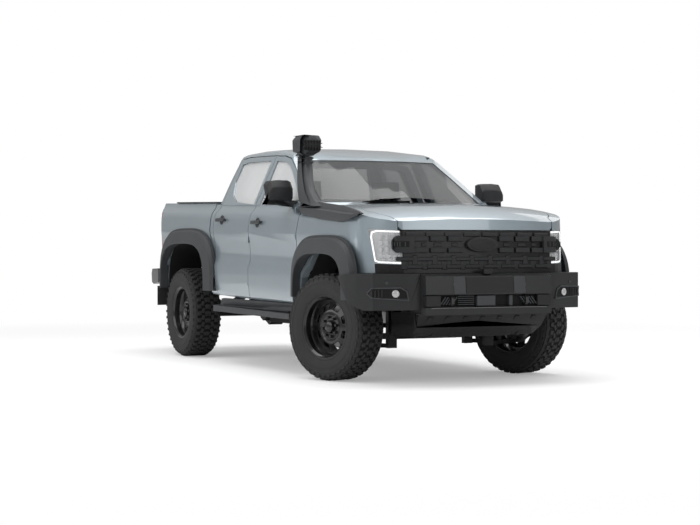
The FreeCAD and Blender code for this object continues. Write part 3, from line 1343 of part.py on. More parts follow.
BED_RAIL_SHARES = (
    (0.9234, 0.7187), (0.917, 0.7276), (0.9043, 0.7307), (0.8245, 0.7307), (0.8191, 0.7187),
)
BED_SIDE_SHARES = (
    (-0.7939, 0.3321), (-0.7939, 0.8095), (-1.2422, 0.8095), (-1.2691, 0.5189),
    (-1.2737, 0.3736), (-1.211, 0.3425),
)
BED_BOX_SHARES = (
    (-0.7939, 0.4152), (-0.7939, 0.7545), (-1.2391, 0.7701), (-1.2599, 0.5189),
    (-1.2615, 0.4515), (-1.2615, 0.4411),
)


def bed_body():
    """Load bed: full-depth side walls, headboard, floor on cross bars, wheel boxes."""
    wide = HALF_WIDTH * 1.2
    low_x, high_x = -WHEELBASE * 1.28, -WHEELBASE * 0.794
    inner = size.bed_inner_half_width
    floor_top = size.bed_floor_top
    floor_low = floor_top - size.bed_floor_wall
    zone = side_prism(BED_SIDE_SHARES, 0, wide)
    outline = zone.common(plan_prism(BED_PLAN_SHARES, 0, CAB_HEIGHT))
    core = side_core(0, low_x, high_x, CAB_HEIGHT * 0.78)
    deep = core.common(outline).cut(side_core(size.skin_wall, low_x, high_x, CAB_HEIGHT * 0.8))
    wall_box = box_shape(Vector(low_x, inner, floor_low), Vector(high_x, wide, CAB_HEIGHT))
    cap = side_prism(BED_BOX_SHARES, 0, wide)
    wall = core.common(wall_box).common(outline).common(cap)
    side = deep.common(cap.fuse(side_prism(BED_SIDE_SHARES, 0, wide).common(
        box_shape(Vector(low_x, 0, 0), Vector(high_x, wide, floor_top))))).fuse(wall)
    side = side.common(box_shape(Vector(low_x, HALF_WIDTH * 0.72, 0), Vector(high_x, wide, CAB_HEIGHT)))
    arch = side_prism(REAR_ARCH_SHARES, HALF_WIDTH * 0.62, wide)
    house = grown(REAR_ARCH_SHARES, size.rail_wall, HALF_WIDTH * 0.61, inner + size.rail_wall)
    house = house.common(box_shape(Vector(low_x, 0, floor_low), Vector(high_x, wide, CAB_HEIGHT)))
    side = side.fuse(house).cut(arch)
    lamp_room = plan_prism(TAIL_LAMP_PLAN_SHARES, CAB_HEIGHT * 0.5425, CAB_HEIGHT * 0.722)
    side = side.cut(lamp_room)
    floor = box_shape(Vector(-WHEELBASE * 1.26, -inner, floor_low),
                      Vector(high_x, inner, floor_top))
    floor = floor.cut(arch).cut(to_right(arch))
    head = box_shape(Vector(high_x - size.skin_wall * 0.8, -inner, floor_low),
                     Vector(high_x, inner, CAB_HEIGHT * 0.752))
    post = box_shape(Vector(-WHEELBASE * 1.2755, size.tailgate_half_width + size.shut_gap, floor_low),
                     Vector(-WHEELBASE * 1.25, inner + size.rail_wall, floor_top + size.skin_wall))
    post = post.cut(gate_pin(size.hinge_clearance))
    side = side.fuse(post)
    shape = side.fuse(to_right(side)).fuse(floor).fuse(head)
    for share in BED_BAR_SHARES:
        middle = WHEELBASE * share
        bar = box_shape(Vector(middle - size.skin_wall / 2, -inner * 0.78, CAB_HEIGHT * 0.405),
                        Vector(middle + size.skin_wall / 2, inner * 0.78, floor_low))
        shape = shape.fuse(bar)
    lamp = lamp_room.common(core).common(outline)
    keep_shape("tail_lamps", Part.makeCompound([lamp, to_right(lamp)]))
    keep_shape("bed_body", shape)


BED_BAR_SHARES = (-0.9, -1.0, -1.1)
BED_PLAN_SHARES = (
    (-0.7939, 0.0), (-0.7939, 1.0213), (-1.1927, 1.0213), (-1.2187, 0.9947), (-1.2416, 0.9468),
    (-1.263, 0.8511), (-1.2737, 0.734), (-1.2737, 0.0),
)
TAIL_LAMP_PLAN_SHARES = (
    (-1.2202, 0.8511), (-1.2202, 1.0213), (-1.2844, 1.0213), (-1.2844, 0.7447),
    (-1.2477, 0.7447), (-1.2477, 0.8511),
)
TAILGATE_SHARES = (
    (-1.2654, 0.4567), (-1.2654, 0.5189), (-1.2453, 0.7654), (-1.263, 0.767),
    (-1.2829, 0.5605), (-1.285, 0.4567),
)


GATE_PIN_PLACE = (-1.2722, 0.4696)


def gate_pin(clearance):
    """The stub that the gate turns on, running out into the bed's rear post."""
    share_x, share_z = GATE_PIN_PLACE
    centre = Vector(WHEELBASE * share_x, HALF_WIDTH * 0.7, CAB_HEIGHT * share_z)
    radius = size.hinge_pin_radius * 2.5
    return Part.makeCylinder(radius + clearance, HALF_WIDTH * 0.08, centre, Vector(0, 1, 0))


def tailgate():
    gate = side_slab("tailgate_panel", xz(TAILGATE_SHARES), "-sizes.tailgate_half_width",
                     "sizes.tailgate_half_width")
    doc.recompute()
    pin = gate_pin(0)
    keep_shape("tailgate", gate.Shape.fuse(pin).fuse(to_right(pin)))


STEP_SHARES = (
    (-0.1667, 0.261), (-0.7034, 0.2709), (-0.7034, 0.2423), (-0.1667, 0.2372),
)


def side_steps():
    inner = "(sizes.step_half_width - sizes.step_width)"
    board = side_slab("step_board", xz(STEP_SHARES), inner, "sizes.step_half_width")
    parts = [board]
    rail = "(sizes.rail_centre + sizes.rail_width / 2 + sizes.glass_gap)"
    for name, share in (("front", -0.2), ("middle", -0.42), ("back", -0.66)):
        parts.append(block(f"{name}_step_arm", at(share), at(share + 0.012), rail,
                           f"{inner} + sizes.rail_wall", up(0.2465), up(0.257)))
    finish(pair("step_pair", join("step", parts)), "side_steps")


BUMPER_SHARES = (
    (0.2177, 0.4401), (0.2697, 0.4401), (0.2942, 0.4302), (0.2985, 0.3633), (0.2972, 0.3581),
    (0.2844, 0.356), (0.2844, 0.3103), (0.2966, 0.3083), (0.2966, 0.2792), (0.2768, 0.2828),
    (0.2177, 0.2844),
)
BUMPER_PLAN_SHARES = (
    (0.1957, 0.5745), (0.2703, 0.5745), (0.2673, 0.6809), (0.2431, 0.9574), (0.2049, 1.0298),
    (0.1713, 1.0702), (0.1284, 1.0787), (0.1284, 1.0106), (0.1835, 0.9894), (0.1957, 0.8511),
)
BUMPER_WING_SHARES = (
    (0.1254, 0.4286), (0.1529, 0.4359), (0.1957, 0.4401), (0.2752, 0.4401), (0.2752, 0.2984),
    (0.2202, 0.2963), (0.1746, 0.3228),
)


def front_bumper():
    middle = side_slab("bumper_middle", xz(BUMPER_SHARES), "-sizes.bumper_half_width",
                       "sizes.bumper_half_width")
    plan = plan_slab("bumper_wing_plan", xy(BUMPER_PLAN_SHARES), up(0.28), up(0.45))
    side = side_slab("bumper_wing_side", xz(BUMPER_WING_SHARES), "sizes.body_half_width * 0.5",
                     "sizes.body_half_width * 1.2")
    wing = common("bumper_wing", [plan, side])
    finish(join("bumper_weld", [middle, wing, mirrored("bumper_wing_right", wing)]),
           "front_bumper")


HOOK_SHARES = (
    (0.2846, 0.3145), (0.2846, 0.3518), (0.2951, 0.3518), (0.3009, 0.3425), (0.3009, 0.3238),
    (0.2951, 0.3145),
)


def recovery_hooks():
    low = "sizes.body_half_width * 0.33"
    plate = side_slab("hook_plate", xz(HOOK_SHARES), low, f"{low} + sizes.hook_thickness")
    hole = along_y("hook_bore", "sizes.hook_bore_radius", "0", "sizes.body_half_width",
                   at(0.2925), up(0.3332), True)
    finish(pair("hook_pair", cut("hook", plate, hole)), "recovery_hooks")


# Snorkel, mirrors and other fittings

SNORKEL_ROUTE_SHARES = (
    (0.1651, -0.984, 0.6668), (0.0459, -0.984, 0.6798), (-0.0917, -0.9734, 0.7135),
    (-0.1713, -0.9149, 0.7784), (-0.263, -0.8404, 0.8978), (-0.2661, -0.8351, 0.96),
)


def snorkel():
    """Intake duct: flat along the wing, up beside the pillar, to a forward-facing head."""
    rows = [Vector(WHEELBASE * a, HALF_WIDTH * b, CAB_HEIGHT * c) for a, b, c in SNORKEL_ROUTE_SHARES]
    half_tall, half_deep = size.skin_wall * 0.62, size.skin_wall * 0.5
    shape = None
    for start, end in zip(rows, rows[1:]):
        rings = []
        for spot in (start, end):
            upright = abs((end - start).normalize().z) > 0.5
            if upright:
                corners = [(1, 0.8), (1, -0.8), (-1, -0.8), (-1, 0.8)]
                points = [spot + Vector(a * half_tall, b * half_deep, 0) for a, b in corners]
            else:
                corners = [(0.8, 1), (-0.8, 1), (-0.8, -1), (0.8, -1)]
                points = [spot + Vector(0, a * half_deep, b * half_tall) for a, b in corners]
            rings.append(points)
        run = skinned(rings)
        shape = run if shape is None else shape.fuse(run)
    head_low, head_high = rows[-1] - Vector(0, 0, half_tall * 0.6), rows[-1] + Vector(0, 0, half_tall * 3.2)
    head = Part.makeBox(half_tall * 6, half_deep * 5, half_tall * 3.4,
                        rows[-1] + Vector(-half_tall * 2.4, -half_deep * 2.5, 0))
    shape = shape.fuse(head)
    body = nose_volume(-size.glass_gap).fuse(greenhouse(-size.glass_gap))
    keep_shape("snorkel", shape.cut(body).cut(side_core(-size.glass_gap, -WHEELBASE * 0.3, 0,
                                                        CAB_HEIGHT * 0.719)))


def antenna():
    base = along_z("antenna_foot", "sizes.tie_rod_radius", up(0.98), up(1.01), at(-0.757), "0")
    rod_item = rod("antenna_rod", "sizes.antenna_radius", "sizes.antenna_height",
                   (at(-0.757), "0", up(1.005)), Vector(-0.6, 0, 0.8))
    parts = join("antenna_parts", [base, rod_item])
    doc.recompute()
    keep_shape("antenna", parts.Shape.cut(greenhouse(-size.glass_gap)))


MIRROR_SHARES = (
    (0.9628, 0.7135), (1.1702, 0.7265), (1.1787, 0.8095), (1.1277, 0.8303), (0.9894, 0.8225),
    (0.9628, 0.768),
)
MIRROR_FOOT_SHARES = (
    (-0.2156, 0.9096), (-0.2156, 1.0213), (-0.2416, 1.0213), (-0.2416, 0.9096),
)


def mirrors():
    left = front_slab("mirror_head", yz(MIRROR_SHARES), at(-0.265), at(-0.218))
    foot = block("mirror_foot", at(-0.24), at(-0.222), "sizes.body_half_width * 0.88",
                 "sizes.body_half_width * 0.98", up(0.725), up(0.745))
    master = join("mirror_master", [left, foot])
    doc.recompute()
    body = greenhouse(-size.glass_gap).fuse(side_core(-size.glass_gap, -WHEELBASE * 0.3, 0,
                                                      CAB_HEIGHT * 0.76))
    shape = master.Shape.cut(body)
    keep_shape("mirror_left", shape)
    keep_shape("mirror_right", to_right(shape))


def mudflaps():
    flap = block("flap", at(-1.213), at(-1.209), "sizes.track_width / 2 - sizes.tyre_width / 2",
                 "sizes.flare_half_width - sizes.skin_wall / 2", up(0.243), up(0.3422))
    finish(pair("flap_pair", flap), "mudflaps")


REAR_BUMPER_SHARES = (
    (-1.2691, 0.4318), (-1.3242, 0.4286), (-1.3312, 0.4048), (-1.3272, 0.3581),
    (-1.3119, 0.3482), (-1.2691, 0.3581),
)
REAR_STEP_SHARES = (
    (-1.2938, 0.41), (-1.3287, 0.4089), (-1.3327, 0.3633), (-1.315, 0.3321), (-1.2938, 0.3321),
)


def rear_bumper():
    side = side_slab("bumper_corner", xz(REAR_BUMPER_SHARES), "sizes.tailgate_half_width + sizes.shut_gap",
                     "sizes.body_half_width * 0.975")
    middle = side_slab("bumper_step", xz(REAR_STEP_SHARES), "-sizes.tailgate_half_width - sizes.skin_wall",
                       "sizes.tailgate_half_width + sizes.skin_wall")
    finish(join("rear_bumper_weld", [middle, side, mirrored("bumper_corner_right", side)]),
           "rear_bumper")


def tow_bar():
    half = "sizes.receiver_size / 2"
    z = up(0.305)
    tube = block("receiver_tube", at(-1.3425), at(-1.30), f"-{half}", half, f"{z} - {half}", f"{z} + {half}")
    hole = block("receiver_hole", at(-1.35), at(-1.31), "-sizes.receiver_bore / 2",
                 "sizes.receiver_bore / 2", f"{z} - sizes.receiver_bore / 2", f"{z} + sizes.receiver_bore / 2")
    beam = block("tow_beam", at(-1.305), at(-1.28), "-sizes.rail_centre * 1.05",
                 "sizes.rail_centre * 1.05", f"{z} - {half}", f"{z} + {half}")
    arm_low = f"{z} + {half} * 0.5"
    arms = both_sides("tow_arm", at(-1.293), at(-1.282), "sizes.rail_centre * 0.95",
                      "sizes.rail_centre * 1.05", arm_low, up(0.332))
    fit = "(sizes.receiver_bore / 2 - sizes.glass_gap)"
    bar = block("tongue_bar", at(-1.372), at(-1.315), f"-{fit}", fit, f"{z} - {fit}", f"{z} + {fit}")
    pin = along_y("pin_bore", "sizes.receiver_pin_radius", "-sizes.receiver_size",
                  "sizes.receiver_size", at(-1.333), z, True)
    tongue = cut("tongue", bar, pin)
    welded = cut("tow_bored", join("tow_weld", [cut("receiver", tube, hole), beam] + arms), pin)
    finish(group("tow_parts", [welded, tongue]), "tow_bar")


SEAT_SHARES = (
    (-0.2752, 0.4048), (-0.2691, 0.4826), (-0.2813, 0.4982), (-0.4067, 0.4826),
    (-0.4404, 0.4982), (-0.4771, 0.7421), (-0.5015, 0.7473), (-0.4893, 0.5708),
    (-0.4495, 0.4255), (-0.4404, 0.4048),
)
SEAT_BASE_SHARES = (
    (-0.2936, 0.3399), (-0.2936, 0.41), (-0.4281, 0.41), (-0.4281, 0.3399),
)
HEADREST_SHARES = (
    (-0.4771, 0.7577), (-0.4832, 0.8511), (-0.5046, 0.8511), (-0.5076, 0.7577),
)
REAR_SEAT_SHARES = (
    (-0.5505, 0.3399), (-0.5474, 0.4982), (-0.5596, 0.5138), (-0.682, 0.4982),
    (-0.7034, 0.5086), (-0.7309, 0.7473), (-0.7547, 0.7473), (-0.7547, 0.3399),
)


def seats():
    low, high = "sizes.body_half_width * 0.14", "sizes.body_half_width * 0.7"
    seat = side_slab("seat_cushions", xz(SEAT_SHARES), low, high)
    base = side_slab("seat_base", xz(SEAT_BASE_SHARES), "sizes.body_half_width * 0.2",
                     "sizes.body_half_width * 0.64")
    head = side_slab("headrest", xz(HEADREST_SHARES), "sizes.body_half_width * 0.28",
                     "sizes.body_half_width * 0.56")
    stalk = block("headrest_stalk", at(-0.492), at(-0.487), "sizes.body_half_width * 0.4",
                  "sizes.body_half_width * 0.44", up(0.73), up(0.78))
    finish(pair("seat_pair", join("seat", [seat, base, head, stalk])), "front_seats")
    bench = side_slab("bench", xz(REAR_SEAT_SHARES), "-sizes.body_half_width * 0.68",
                      "sizes.body_half_width * 0.68")
    finish(bench, "rear_seat")


DASH_SHARES = (
    (-0.1425, 0.5189), (-0.1425, 0.6694), (-0.1713, 0.698), (-0.2141, 0.685),
    (-0.2446, 0.6435), (-0.2324, 0.5812), (-0.1957, 0.5189),
)


def dashboard():
    dash = side_slab("dash_body", xz(DASH_SHARES), "-sizes.body_half_width * 0.79",
                     "sizes.body_half_width * 0.79")
    column_axis = Vector(-math.cos(math.radians(size.column_tilt_degrees)), 0,
                         math.sin(math.radians(size.column_tilt_degrees)))
    column = rod("steering_column", "sizes.column_radius", "sizes.wheelbase * 0.07",
                 (at(-0.205), "-sizes.body_half_width * 0.41", up(0.585)), column_axis)
    console = block("console", at(-0.42), at(-0.19), "-sizes.body_half_width * 0.12",
                    "sizes.body_half_width * 0.12", "sizes.floor_top", up(0.45))
    stack = block("centre_stack", at(-0.196), at(-0.15), "-sizes.body_half_width * 0.12",
                  "sizes.body_half_width * 0.12", "sizes.floor_top", up(0.525))
    finish(join("dash_parts", [dash, column, console, stack]), "dashboard")


def steering_wheel():
    """The rim, hub and three spokes, drawn flat and tipped onto the column."""
    tilt = size.column_tilt_degrees
    axis = Vector(-math.cos(math.radians(tilt)), 0, math.sin(math.radians(tilt)))
    rings = []
    for reach in (1, -1):
        radii = [size.steering_wheel_radius + reach * size.grip_radius * share for share in (0.5, 1, 0.5)]
        rings.append(skinned([
            [Vector(radius * math.cos(turn), radius * math.sin(turn), size.grip_radius * level)
             for turn in [math.tau * side / RIM_SIDES for side in range(RIM_SIDES)]]
            for radius, level in zip(radii, (-1, 0, 1))]))
    grip = doc.addObject("Part::Feature", "grip_ring")
    grip.Shape = rings[0].cut(rings[1])
    hub = join("wheel_hub", [
        along_z("hub_pad", "sizes.column_radius * 2.4", "-sizes.grip_radius", "sizes.grip_radius * 1.6",
                "0", "0"),
        along_z("hub_boss", "sizes.column_radius / 2", "sizes.grip_radius", "sizes.grip_radius * 2",
                "0", "0", True)])
    spokes = []
    for index, degrees in enumerate((90, 210, 330)):
        spoke = block(f"spoke_{index}", "0", "sizes.steering_wheel_radius", "-sizes.grip_radius",
                      "sizes.grip_radius", "-sizes.grip_radius * 0.4", "sizes.grip_radius * 0.4")
        turn = Rotation(Vector(0, 0, 1), degrees)
        spoke.setExpression("Placement.Base.y", None)
        spoke.setExpression("Placement.Base.x", None)
        spoke.setExpression("Placement.Base.z", None)
        spoke.Placement = Placement(turn.multVec(Vector(0, -size.grip_radius, -size.grip_radius * 0.4)), turn)
        spokes.append(spoke)
    wheel = join("steering_wheel_parts", [grip, hub] + spokes)
    wheel.Placement = Placement(Vector(0, 0, 0), Rotation(Vector(0, 0, 1), axis))
    centre = Vector(-WHEELBASE * 0.205, -HALF_WIDTH * 0.41, CAB_HEIGHT * 0.585) + axis * (
        WHEELBASE * 0.07 + size.grip_radius + size.bearing_gap)
    holder = doc.addObject("Part::Compound", "steering_wheel")
    holder.Links = [wheel]
    finish(holder, "steering_wheel")
    wheel.Placement.Base = centre


def build():
    shells = Shells()
    wheels()
    knuckles()
    tie_rods()
    front_suspension()
    ladder_frame()
    engine_block()
    driveline()
    rear_axle_and_springs()
    exhaust()
    fuel_tank()
    skid_plate()
    doors(shells)
    cab_frame(shells)
    cab_glass(shells)
    cab_floor()
    front_panels(shells)
    flares(shells)
    arch_liners()
    bed_body()
    tailgate()
    side_steps()
    front_bumper()
    recovery_hooks()
    snorkel()
    antenna()
    mirrors()
    mudflaps()
    rear_bumper()
    tow_bar()
    seats()
    dashboard()
    steering_wheel()
    doc.recompute()


def check_and_write():
    failed = [item.Label for item in doc.Objects if {"Invalid", "Error"} & set(item.State)]
    if failed:
        raise RuntimeError(f"these failed: {failed}")
    os.makedirs("parts", exist_ok=True)
    for item in pieces:
        shape = item.Shape
        if shape.isNull() or not shape.isValid() or not shape.Solids:
            raise RuntimeError(f"{item.Label} has no valid solid")
    for item in pieces:
        item.Shape.exportStep(f"parts/{item.Label}.step")
        print(item.Label, len(item.Shape.Solids), round(item.Shape.Volume))


build()
check_and_write()
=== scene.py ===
# %% [markdown]
# # A lifted off-road 4x4, dressed for the studio
# The real truck is a dual-cab pickup: pressed steel panels in light blue-grey metallic paint, grained
# plastic arches and steps, a folded steel bumper, all-terrain tyres on gloss black wheels. The CAD part
# gives every size and every joint. This lesson lays smooth panels, tread, lamps and finishes over it.
# We load the fixed frame first, because each later piece takes its place from it.

# %% Load the fixed frame
import json
import math

import bmesh
import bpy
from mathutils import Matrix, Vector
from mathutils.bvhtree import BVHTree


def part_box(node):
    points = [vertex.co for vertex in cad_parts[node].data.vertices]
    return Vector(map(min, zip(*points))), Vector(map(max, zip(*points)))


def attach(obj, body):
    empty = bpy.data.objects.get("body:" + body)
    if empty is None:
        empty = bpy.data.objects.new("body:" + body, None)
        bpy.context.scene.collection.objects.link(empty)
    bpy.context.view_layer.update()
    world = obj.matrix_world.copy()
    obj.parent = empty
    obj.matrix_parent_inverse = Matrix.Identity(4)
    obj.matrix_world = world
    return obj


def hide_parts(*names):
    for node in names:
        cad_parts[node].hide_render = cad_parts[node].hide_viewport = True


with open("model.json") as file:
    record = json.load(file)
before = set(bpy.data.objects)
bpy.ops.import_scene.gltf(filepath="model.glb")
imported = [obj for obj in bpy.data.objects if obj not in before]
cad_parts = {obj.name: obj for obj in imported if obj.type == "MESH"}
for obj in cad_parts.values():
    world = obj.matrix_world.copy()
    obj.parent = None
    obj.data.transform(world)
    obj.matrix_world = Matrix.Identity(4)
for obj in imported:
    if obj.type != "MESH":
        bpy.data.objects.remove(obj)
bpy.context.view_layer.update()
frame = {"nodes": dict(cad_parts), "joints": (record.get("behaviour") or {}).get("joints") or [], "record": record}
NODES = frame["nodes"]
BODY_OF = {node: body for body, names in frame["record"]["behaviour"]["bodies"].items() for node in names}
SLOT_OF = {part["node"]: part["material_slot"] for part in frame["record"]["subparts"]}
SIDES = ((1, "left"), (-1, "right"))

# %% [markdown]
# ## Camera
# The photograph was taken with a long lens from ahead and to the right, a metre above the floor. We give
# the camera that place, so the render can be laid over the photograph.

# %% Camera at the photograph's viewing angle
SENSOR_MM = 36
PHOTO_WIDTH = 700
FOCAL_PIXELS = 1691
CAMERA_PLACE = (13.875, -6.381, 1.052)
CAMERA_DIP = 0.544
CAMERA_HEADING = 154.957
camera_data = bpy.data.cameras.new("photo_camera")
camera_data.sensor_width = SENSOR_MM
camera_data.lens = FOCAL_PIXELS / PHOTO_WIDTH * camera_data.sensor_width
camera_data.clip_end = 100
camera = bpy.data.objects.new("photo_camera", camera_data)
bpy.context.collection.objects.link(camera)
camera.location = CAMERA_PLACE
camera.rotation_euler = (math.radians(90 - CAMERA_DIP), 0, math.radians(CAMERA_HEADING - 90))
bpy.context.scene.camera = camera
bpy.context.scene.view_settings.view_transform = "Standard"
print("lens", round(camera_data.lens, 2), "mm")

# %% [markdown]
# ## Shader maths
# A material is a small sum: grain added to colour, a mask times roughness. We wrap a socket in a class, so
# that a sum is written as a sum and the class adds the Math nodes.

# %% Shader maths as Python expressions
class Field:
    """One value that changes over a surface: a socket that can be added, multiplied and mixed."""

    def __init__(self, tree, socket):
        self.tree = tree
        self.socket = socket

    def math(self, operation, *values):
        node = self.tree.nodes.new("ShaderNodeMath")
        node.operation = operation
        for place, value in enumerate((self, *values)):
            plug(self.tree, node.inputs[place], value)
        return Field(self.tree, node.outputs[0])

    def __add__(self, other):
        return self.math("ADD", other)

    def __mul__(self, other):
        return self.math("MULTIPLY", other)

    def __sub__(self, other):
        return self.math("SUBTRACT", other)

    def between(self, low, high):
        return self.math("SUBTRACT", low).math("DIVIDE", high - low).clamp()

    def clamp(self):
        return self.math("MAXIMUM", 0.0).math("MINIMUM", 1.0)


def plug(tree, socket, value):
    """Links a field to a socket, or sets the socket to a plain number or colour."""
    if isinstance(value, Field):
        tree.links.new(value.socket, socket)
    else:
        socket.default_value = value


class Finish:
    """A material under construction, on the piece's own Object coordinates."""

    def __init__(self, name):
        self.material = bpy.data.materials.new(name)
        self.material.use_nodes = True
        self.tree = self.material.node_tree
        self.shader = self.tree.nodes["Principled BSDF"]
        self.place = self.node("ShaderNodeTexCoord", output="Object")

    def node(self, kind, settings=None, inputs=None, output=0):
        made = self.tree.nodes.new(kind)
        for key, value in (settings or {}).items():
            setattr(made, key, value)
        for key, value in (inputs or {}).items():
            plug(self.tree, made.inputs[key], value)
        return Field(self.tree, made.outputs[output])

    def noise(self, scale, detail=2.0, rough=0.5):
        return self.node("ShaderNodeTexNoise", inputs={
            "Vector": self.place, "Scale": scale, "Detail": detail, "Roughness": rough})

    def cells(self, scale):
        return self.node("ShaderNodeTexVoronoi", inputs={"Vector": self.place, "Scale": scale})

    def stretched(self, scale, stretch):
        place = self.node("ShaderNodeMapping", inputs={"Vector": self.place, "Scale": stretch})
        return self.node("ShaderNodeTexNoise", inputs={"Vector": place, "Scale": scale})

    def mix(self, share, first, second):
        return self.node("ShaderNodeMix", {"data_type": "RGBA"},
                         {"Factor": share, "A": first, "B": second}, output=2)

    def surface(self, height=None, depth=0.001, strength=1.0, **sockets):
        for name, value in sockets.items():
            plug(self.tree, self.shader.inputs[name.replace("_", " ")], value)
        if height is not None:
            bump = self.node("ShaderNodeBump", inputs={
                "Height": height, "Distance": depth, "Strength": strength})
            plug(self.tree, self.shader.inputs["Normal"], bump)
        return self.material


def grey(level):
    return (level, level, level, 1.0)


# %% [markdown]
# ## Finishes
# Metallic paint is a base with fine flakes under clear coat. Moulded trim has a leathery grain. Rubber is
# matt with faint mould marks. Each finish below keeps its pattern at the size that the real one has.

# %% Body paint
paint = Finish("blue_grey_metallic")
flake = paint.cells(900)
drift = paint.noise(2.5)
PAINT_DARK = (0.215, 0.262, 0.292, 1)
PAINT_LIGHT = (0.262, 0.315, 0.348, 1)
body_paint = paint.surface(
    Base_Color=paint.mix((flake * 0.5 + drift * 0.5).clamp(), PAINT_DARK, PAINT_LIGHT),
    Metallic=0.55, Roughness=flake * 0.10 + 0.30, Coat_Weight=1.0, Coat_Roughness=0.04,
    height=flake, depth=0.00002)


# %% Plain finishes that share a recipe
def grained(name, colour, rough, scale, depth, spread=0.25, metallic=0.0, coat=0.0, gloss=0.28):
    """Moulded or cast surfaces: a pebbled height, and colour and gloss that drift a little."""
    made = Finish(name)
    grain = made.noise(scale, 4.0, 0.6)
    wide = made.noise(6.0)
    darker = tuple(v * (1 - spread) for v in colour[:3]) + (1,)
    lighter = tuple(v * (1 + spread) for v in colour[:3]) + (1,)
    return made.surface(
        Base_Color=made.mix(grain * 0.6 + wide * 0.4, darker, lighter),
        Metallic=metallic, Roughness=(grain - 0.5) * 0.2 + rough, Coat_Weight=coat,
        Specular_IOR_Level=gloss, height=grain, depth=depth)


FINISHES = {
    "body_paint": body_paint,
    "tyre": grained("tyre_rubber", grey(0.026), 0.8, 160, 0.0006, 0.4),
    "wheel_black": grained("gloss_black_enamel", grey(0.006), 0.3, 400, 0.00003, 0.2, coat=0.5),
    "nut_steel": grained("blackened_steel", grey(0.05), 0.4, 300, 0.0001, 0.2, metallic=0.8),
    "cast_iron": grained("sand_cast_iron", grey(0.06), 0.6, 240, 0.0006, 0.3, metallic=0.7),
    "chassis_black": grained("chassis_enamel", grey(0.008), 0.5, 60, 0.0003, 0.4),
    "raw_steel": grained("brushed_steel", grey(0.32), 0.38, 90, 0.0002, 0.2, metallic=1.0),
    "satin_plastic": grained("satin_black_plastic", grey(0.010), 0.5, 500, 0.0002),
    "gloss_black": grained("gloss_black_plastic", grey(0.007), 0.35, 300, 0.00005),
    "textured_plastic": grained("grained_trim", (0.040, 0.042, 0.045, 1), 0.55, 700, 0.0004),
    "dark_trim": grained("dark_grained_trim", (0.016, 0.0165, 0.018, 1), 0.5, 700, 0.0004),
    # shadow_black is near-black: painted shade for groove floors, recesses and openings, and the real dark of
    # seams.
    "void_black": grained("shadow_black", grey(0.004), 0.8, 300, 0.0002),
    "lamp_silver": grained("lamp_silver", grey(0.42), 0.3, 500, 0.0002, 0.12, metallic=0.4),
    "bumper_black": grained("powder_coat", (0.017, 0.0175, 0.0185, 1), 0.4, 600, 0.00015, 0.2),
    "soft_rubber": grained("soft_rubber", grey(0.02), 0.8, 200, 0.0004),
    "bumper_grey": grained("satin_grey_steel", grey(0.16), 0.4, 400, 0.0001, 0.15, metallic=0.5),
    "dash_plastic": grained("soft_dash_plastic", grey(0.035), 0.65, 600, 0.0004),
}
print("finishes", len(FINISHES))

# %% Seat cloth, glass and lamp lenses
cloth = Finish("seat_cloth")
warp = cloth.stretched(60, (1.0, 4.0, 1.0))
weft = cloth.stretched(60, (4.0, 1.0, 1.0))
FINISHES["seat_cloth"] = cloth.surface(
    Base_Color=cloth.mix(warp * 0.5 + weft * 0.5, grey(0.035), grey(0.050)), Roughness=0.85,
    height=warp + weft, depth=0.0008)

glass = Finish("tinted_glass")
smear = glass.noise(3.0, 3.0)
FINISHES["tinted_glass"] = glass.surface(
    Base_Color=glass.mix(smear, (0.105, 0.108, 0.110, 1), (0.125, 0.128, 0.130, 1)),
    Roughness=smear * 0.03 + 0.01, Alpha=0.45, Specular_IOR_Level=0.2)
# The side glass is painted light: its pale grey base colour stands in for the bright room that the side windows
# show, where the windscreen glass is dark.
side_glass = Finish("side_glass")
smear = side_glass.noise(3.0, 3.0)
PAINTED_LIGHT_SIDE_GLASS = side_glass.surface(
    Base_Color=side_glass.mix(smear, (0.56, 0.57, 0.575, 1), (0.62, 0.63, 0.635, 1)),
    Roughness=smear * 0.03 + 0.01, Alpha=0.62, Specular_IOR_Level=0.4)

lens = Finish("clear_lens")
flute = lens.noise(14.0)
FINISHES["lamp_clear"] = lens.surface(
    Base_Color=lens.mix(flute, (0.72, 0.75, 0.77, 1), (0.85, 0.87, 0.88, 1)),
    Roughness=flute * 0.04 + 0.02, Alpha=0.18, Coat_Weight=1.0, Coat_Roughness=0.01)

red = Finish("red_lens")
prism = red.cells(120)
FINISHES["lamp_red"] = red.surface(
    Base_Color=red.mix(prism, (0.16, 0.006, 0.008, 1), (0.28, 0.012, 0.012, 1)),
    Roughness=prism * 0.1 + 0.08, Coat_Weight=1.0, Coat_Roughness=0.02, height=prism, depth=0.0006)

for node, thing in NODES.items():
    for spot in thing.material_slots:
        spot.material = PAINTED_LIGHT_SIDE_GLASS if "door_glass" in node else FINISHES[SLOT_OF[node]]
print("dressed", len(NODES), "CAD nodes")

# %% [markdown]
# ## A maker's helpers
# Operators act on whatever is selected, so each tool below clears the selection first. `finish` puts a
# piece on its body and slot. `smooth_copy` welds a CAD node's loose triangles and rounds its edges, which
# is how a flat-sided solid becomes a pressed panel.

# %% Selection and placing
SELECT_ALL = (bpy.ops.mesh.select_all, {"action": "SELECT"})
FACE_OUT = (bpy.ops.mesh.normals_make_consistent, {"inside": False})


def only(thing):
    """Selects one object and makes it active."""
    bpy.ops.object.select_all(action="DESELECT")
    thing.select_set(True)
    bpy.context.view_layer.objects.active = thing
    return thing


def settle(thing):
    """Bakes the object's place into its mesh, so the object sits at the origin."""
    only(thing)
    bpy.ops.object.transform_apply(location=True, rotation=True, scale=True)
    return thing


def modify(thing, kind, **settings):
    """Adds one modifier and applies it."""
    only(thing)
    modifier = thing.modifiers.new(kind.lower(), kind)
    for name, value in settings.items():
        setattr(modifier, name, value)
    bpy.ops.object.modifier_apply(modifier=modifier.name)
    return thing


def rounded(thing, width, segments, sharp, **settings):
    """Rounds the edges that are sharper than an angle in degrees."""
    return modify(thing, "BEVEL", width=width, segments=segments, limit_method="ANGLE",
                  angle_limit=math.radians(sharp), **settings)


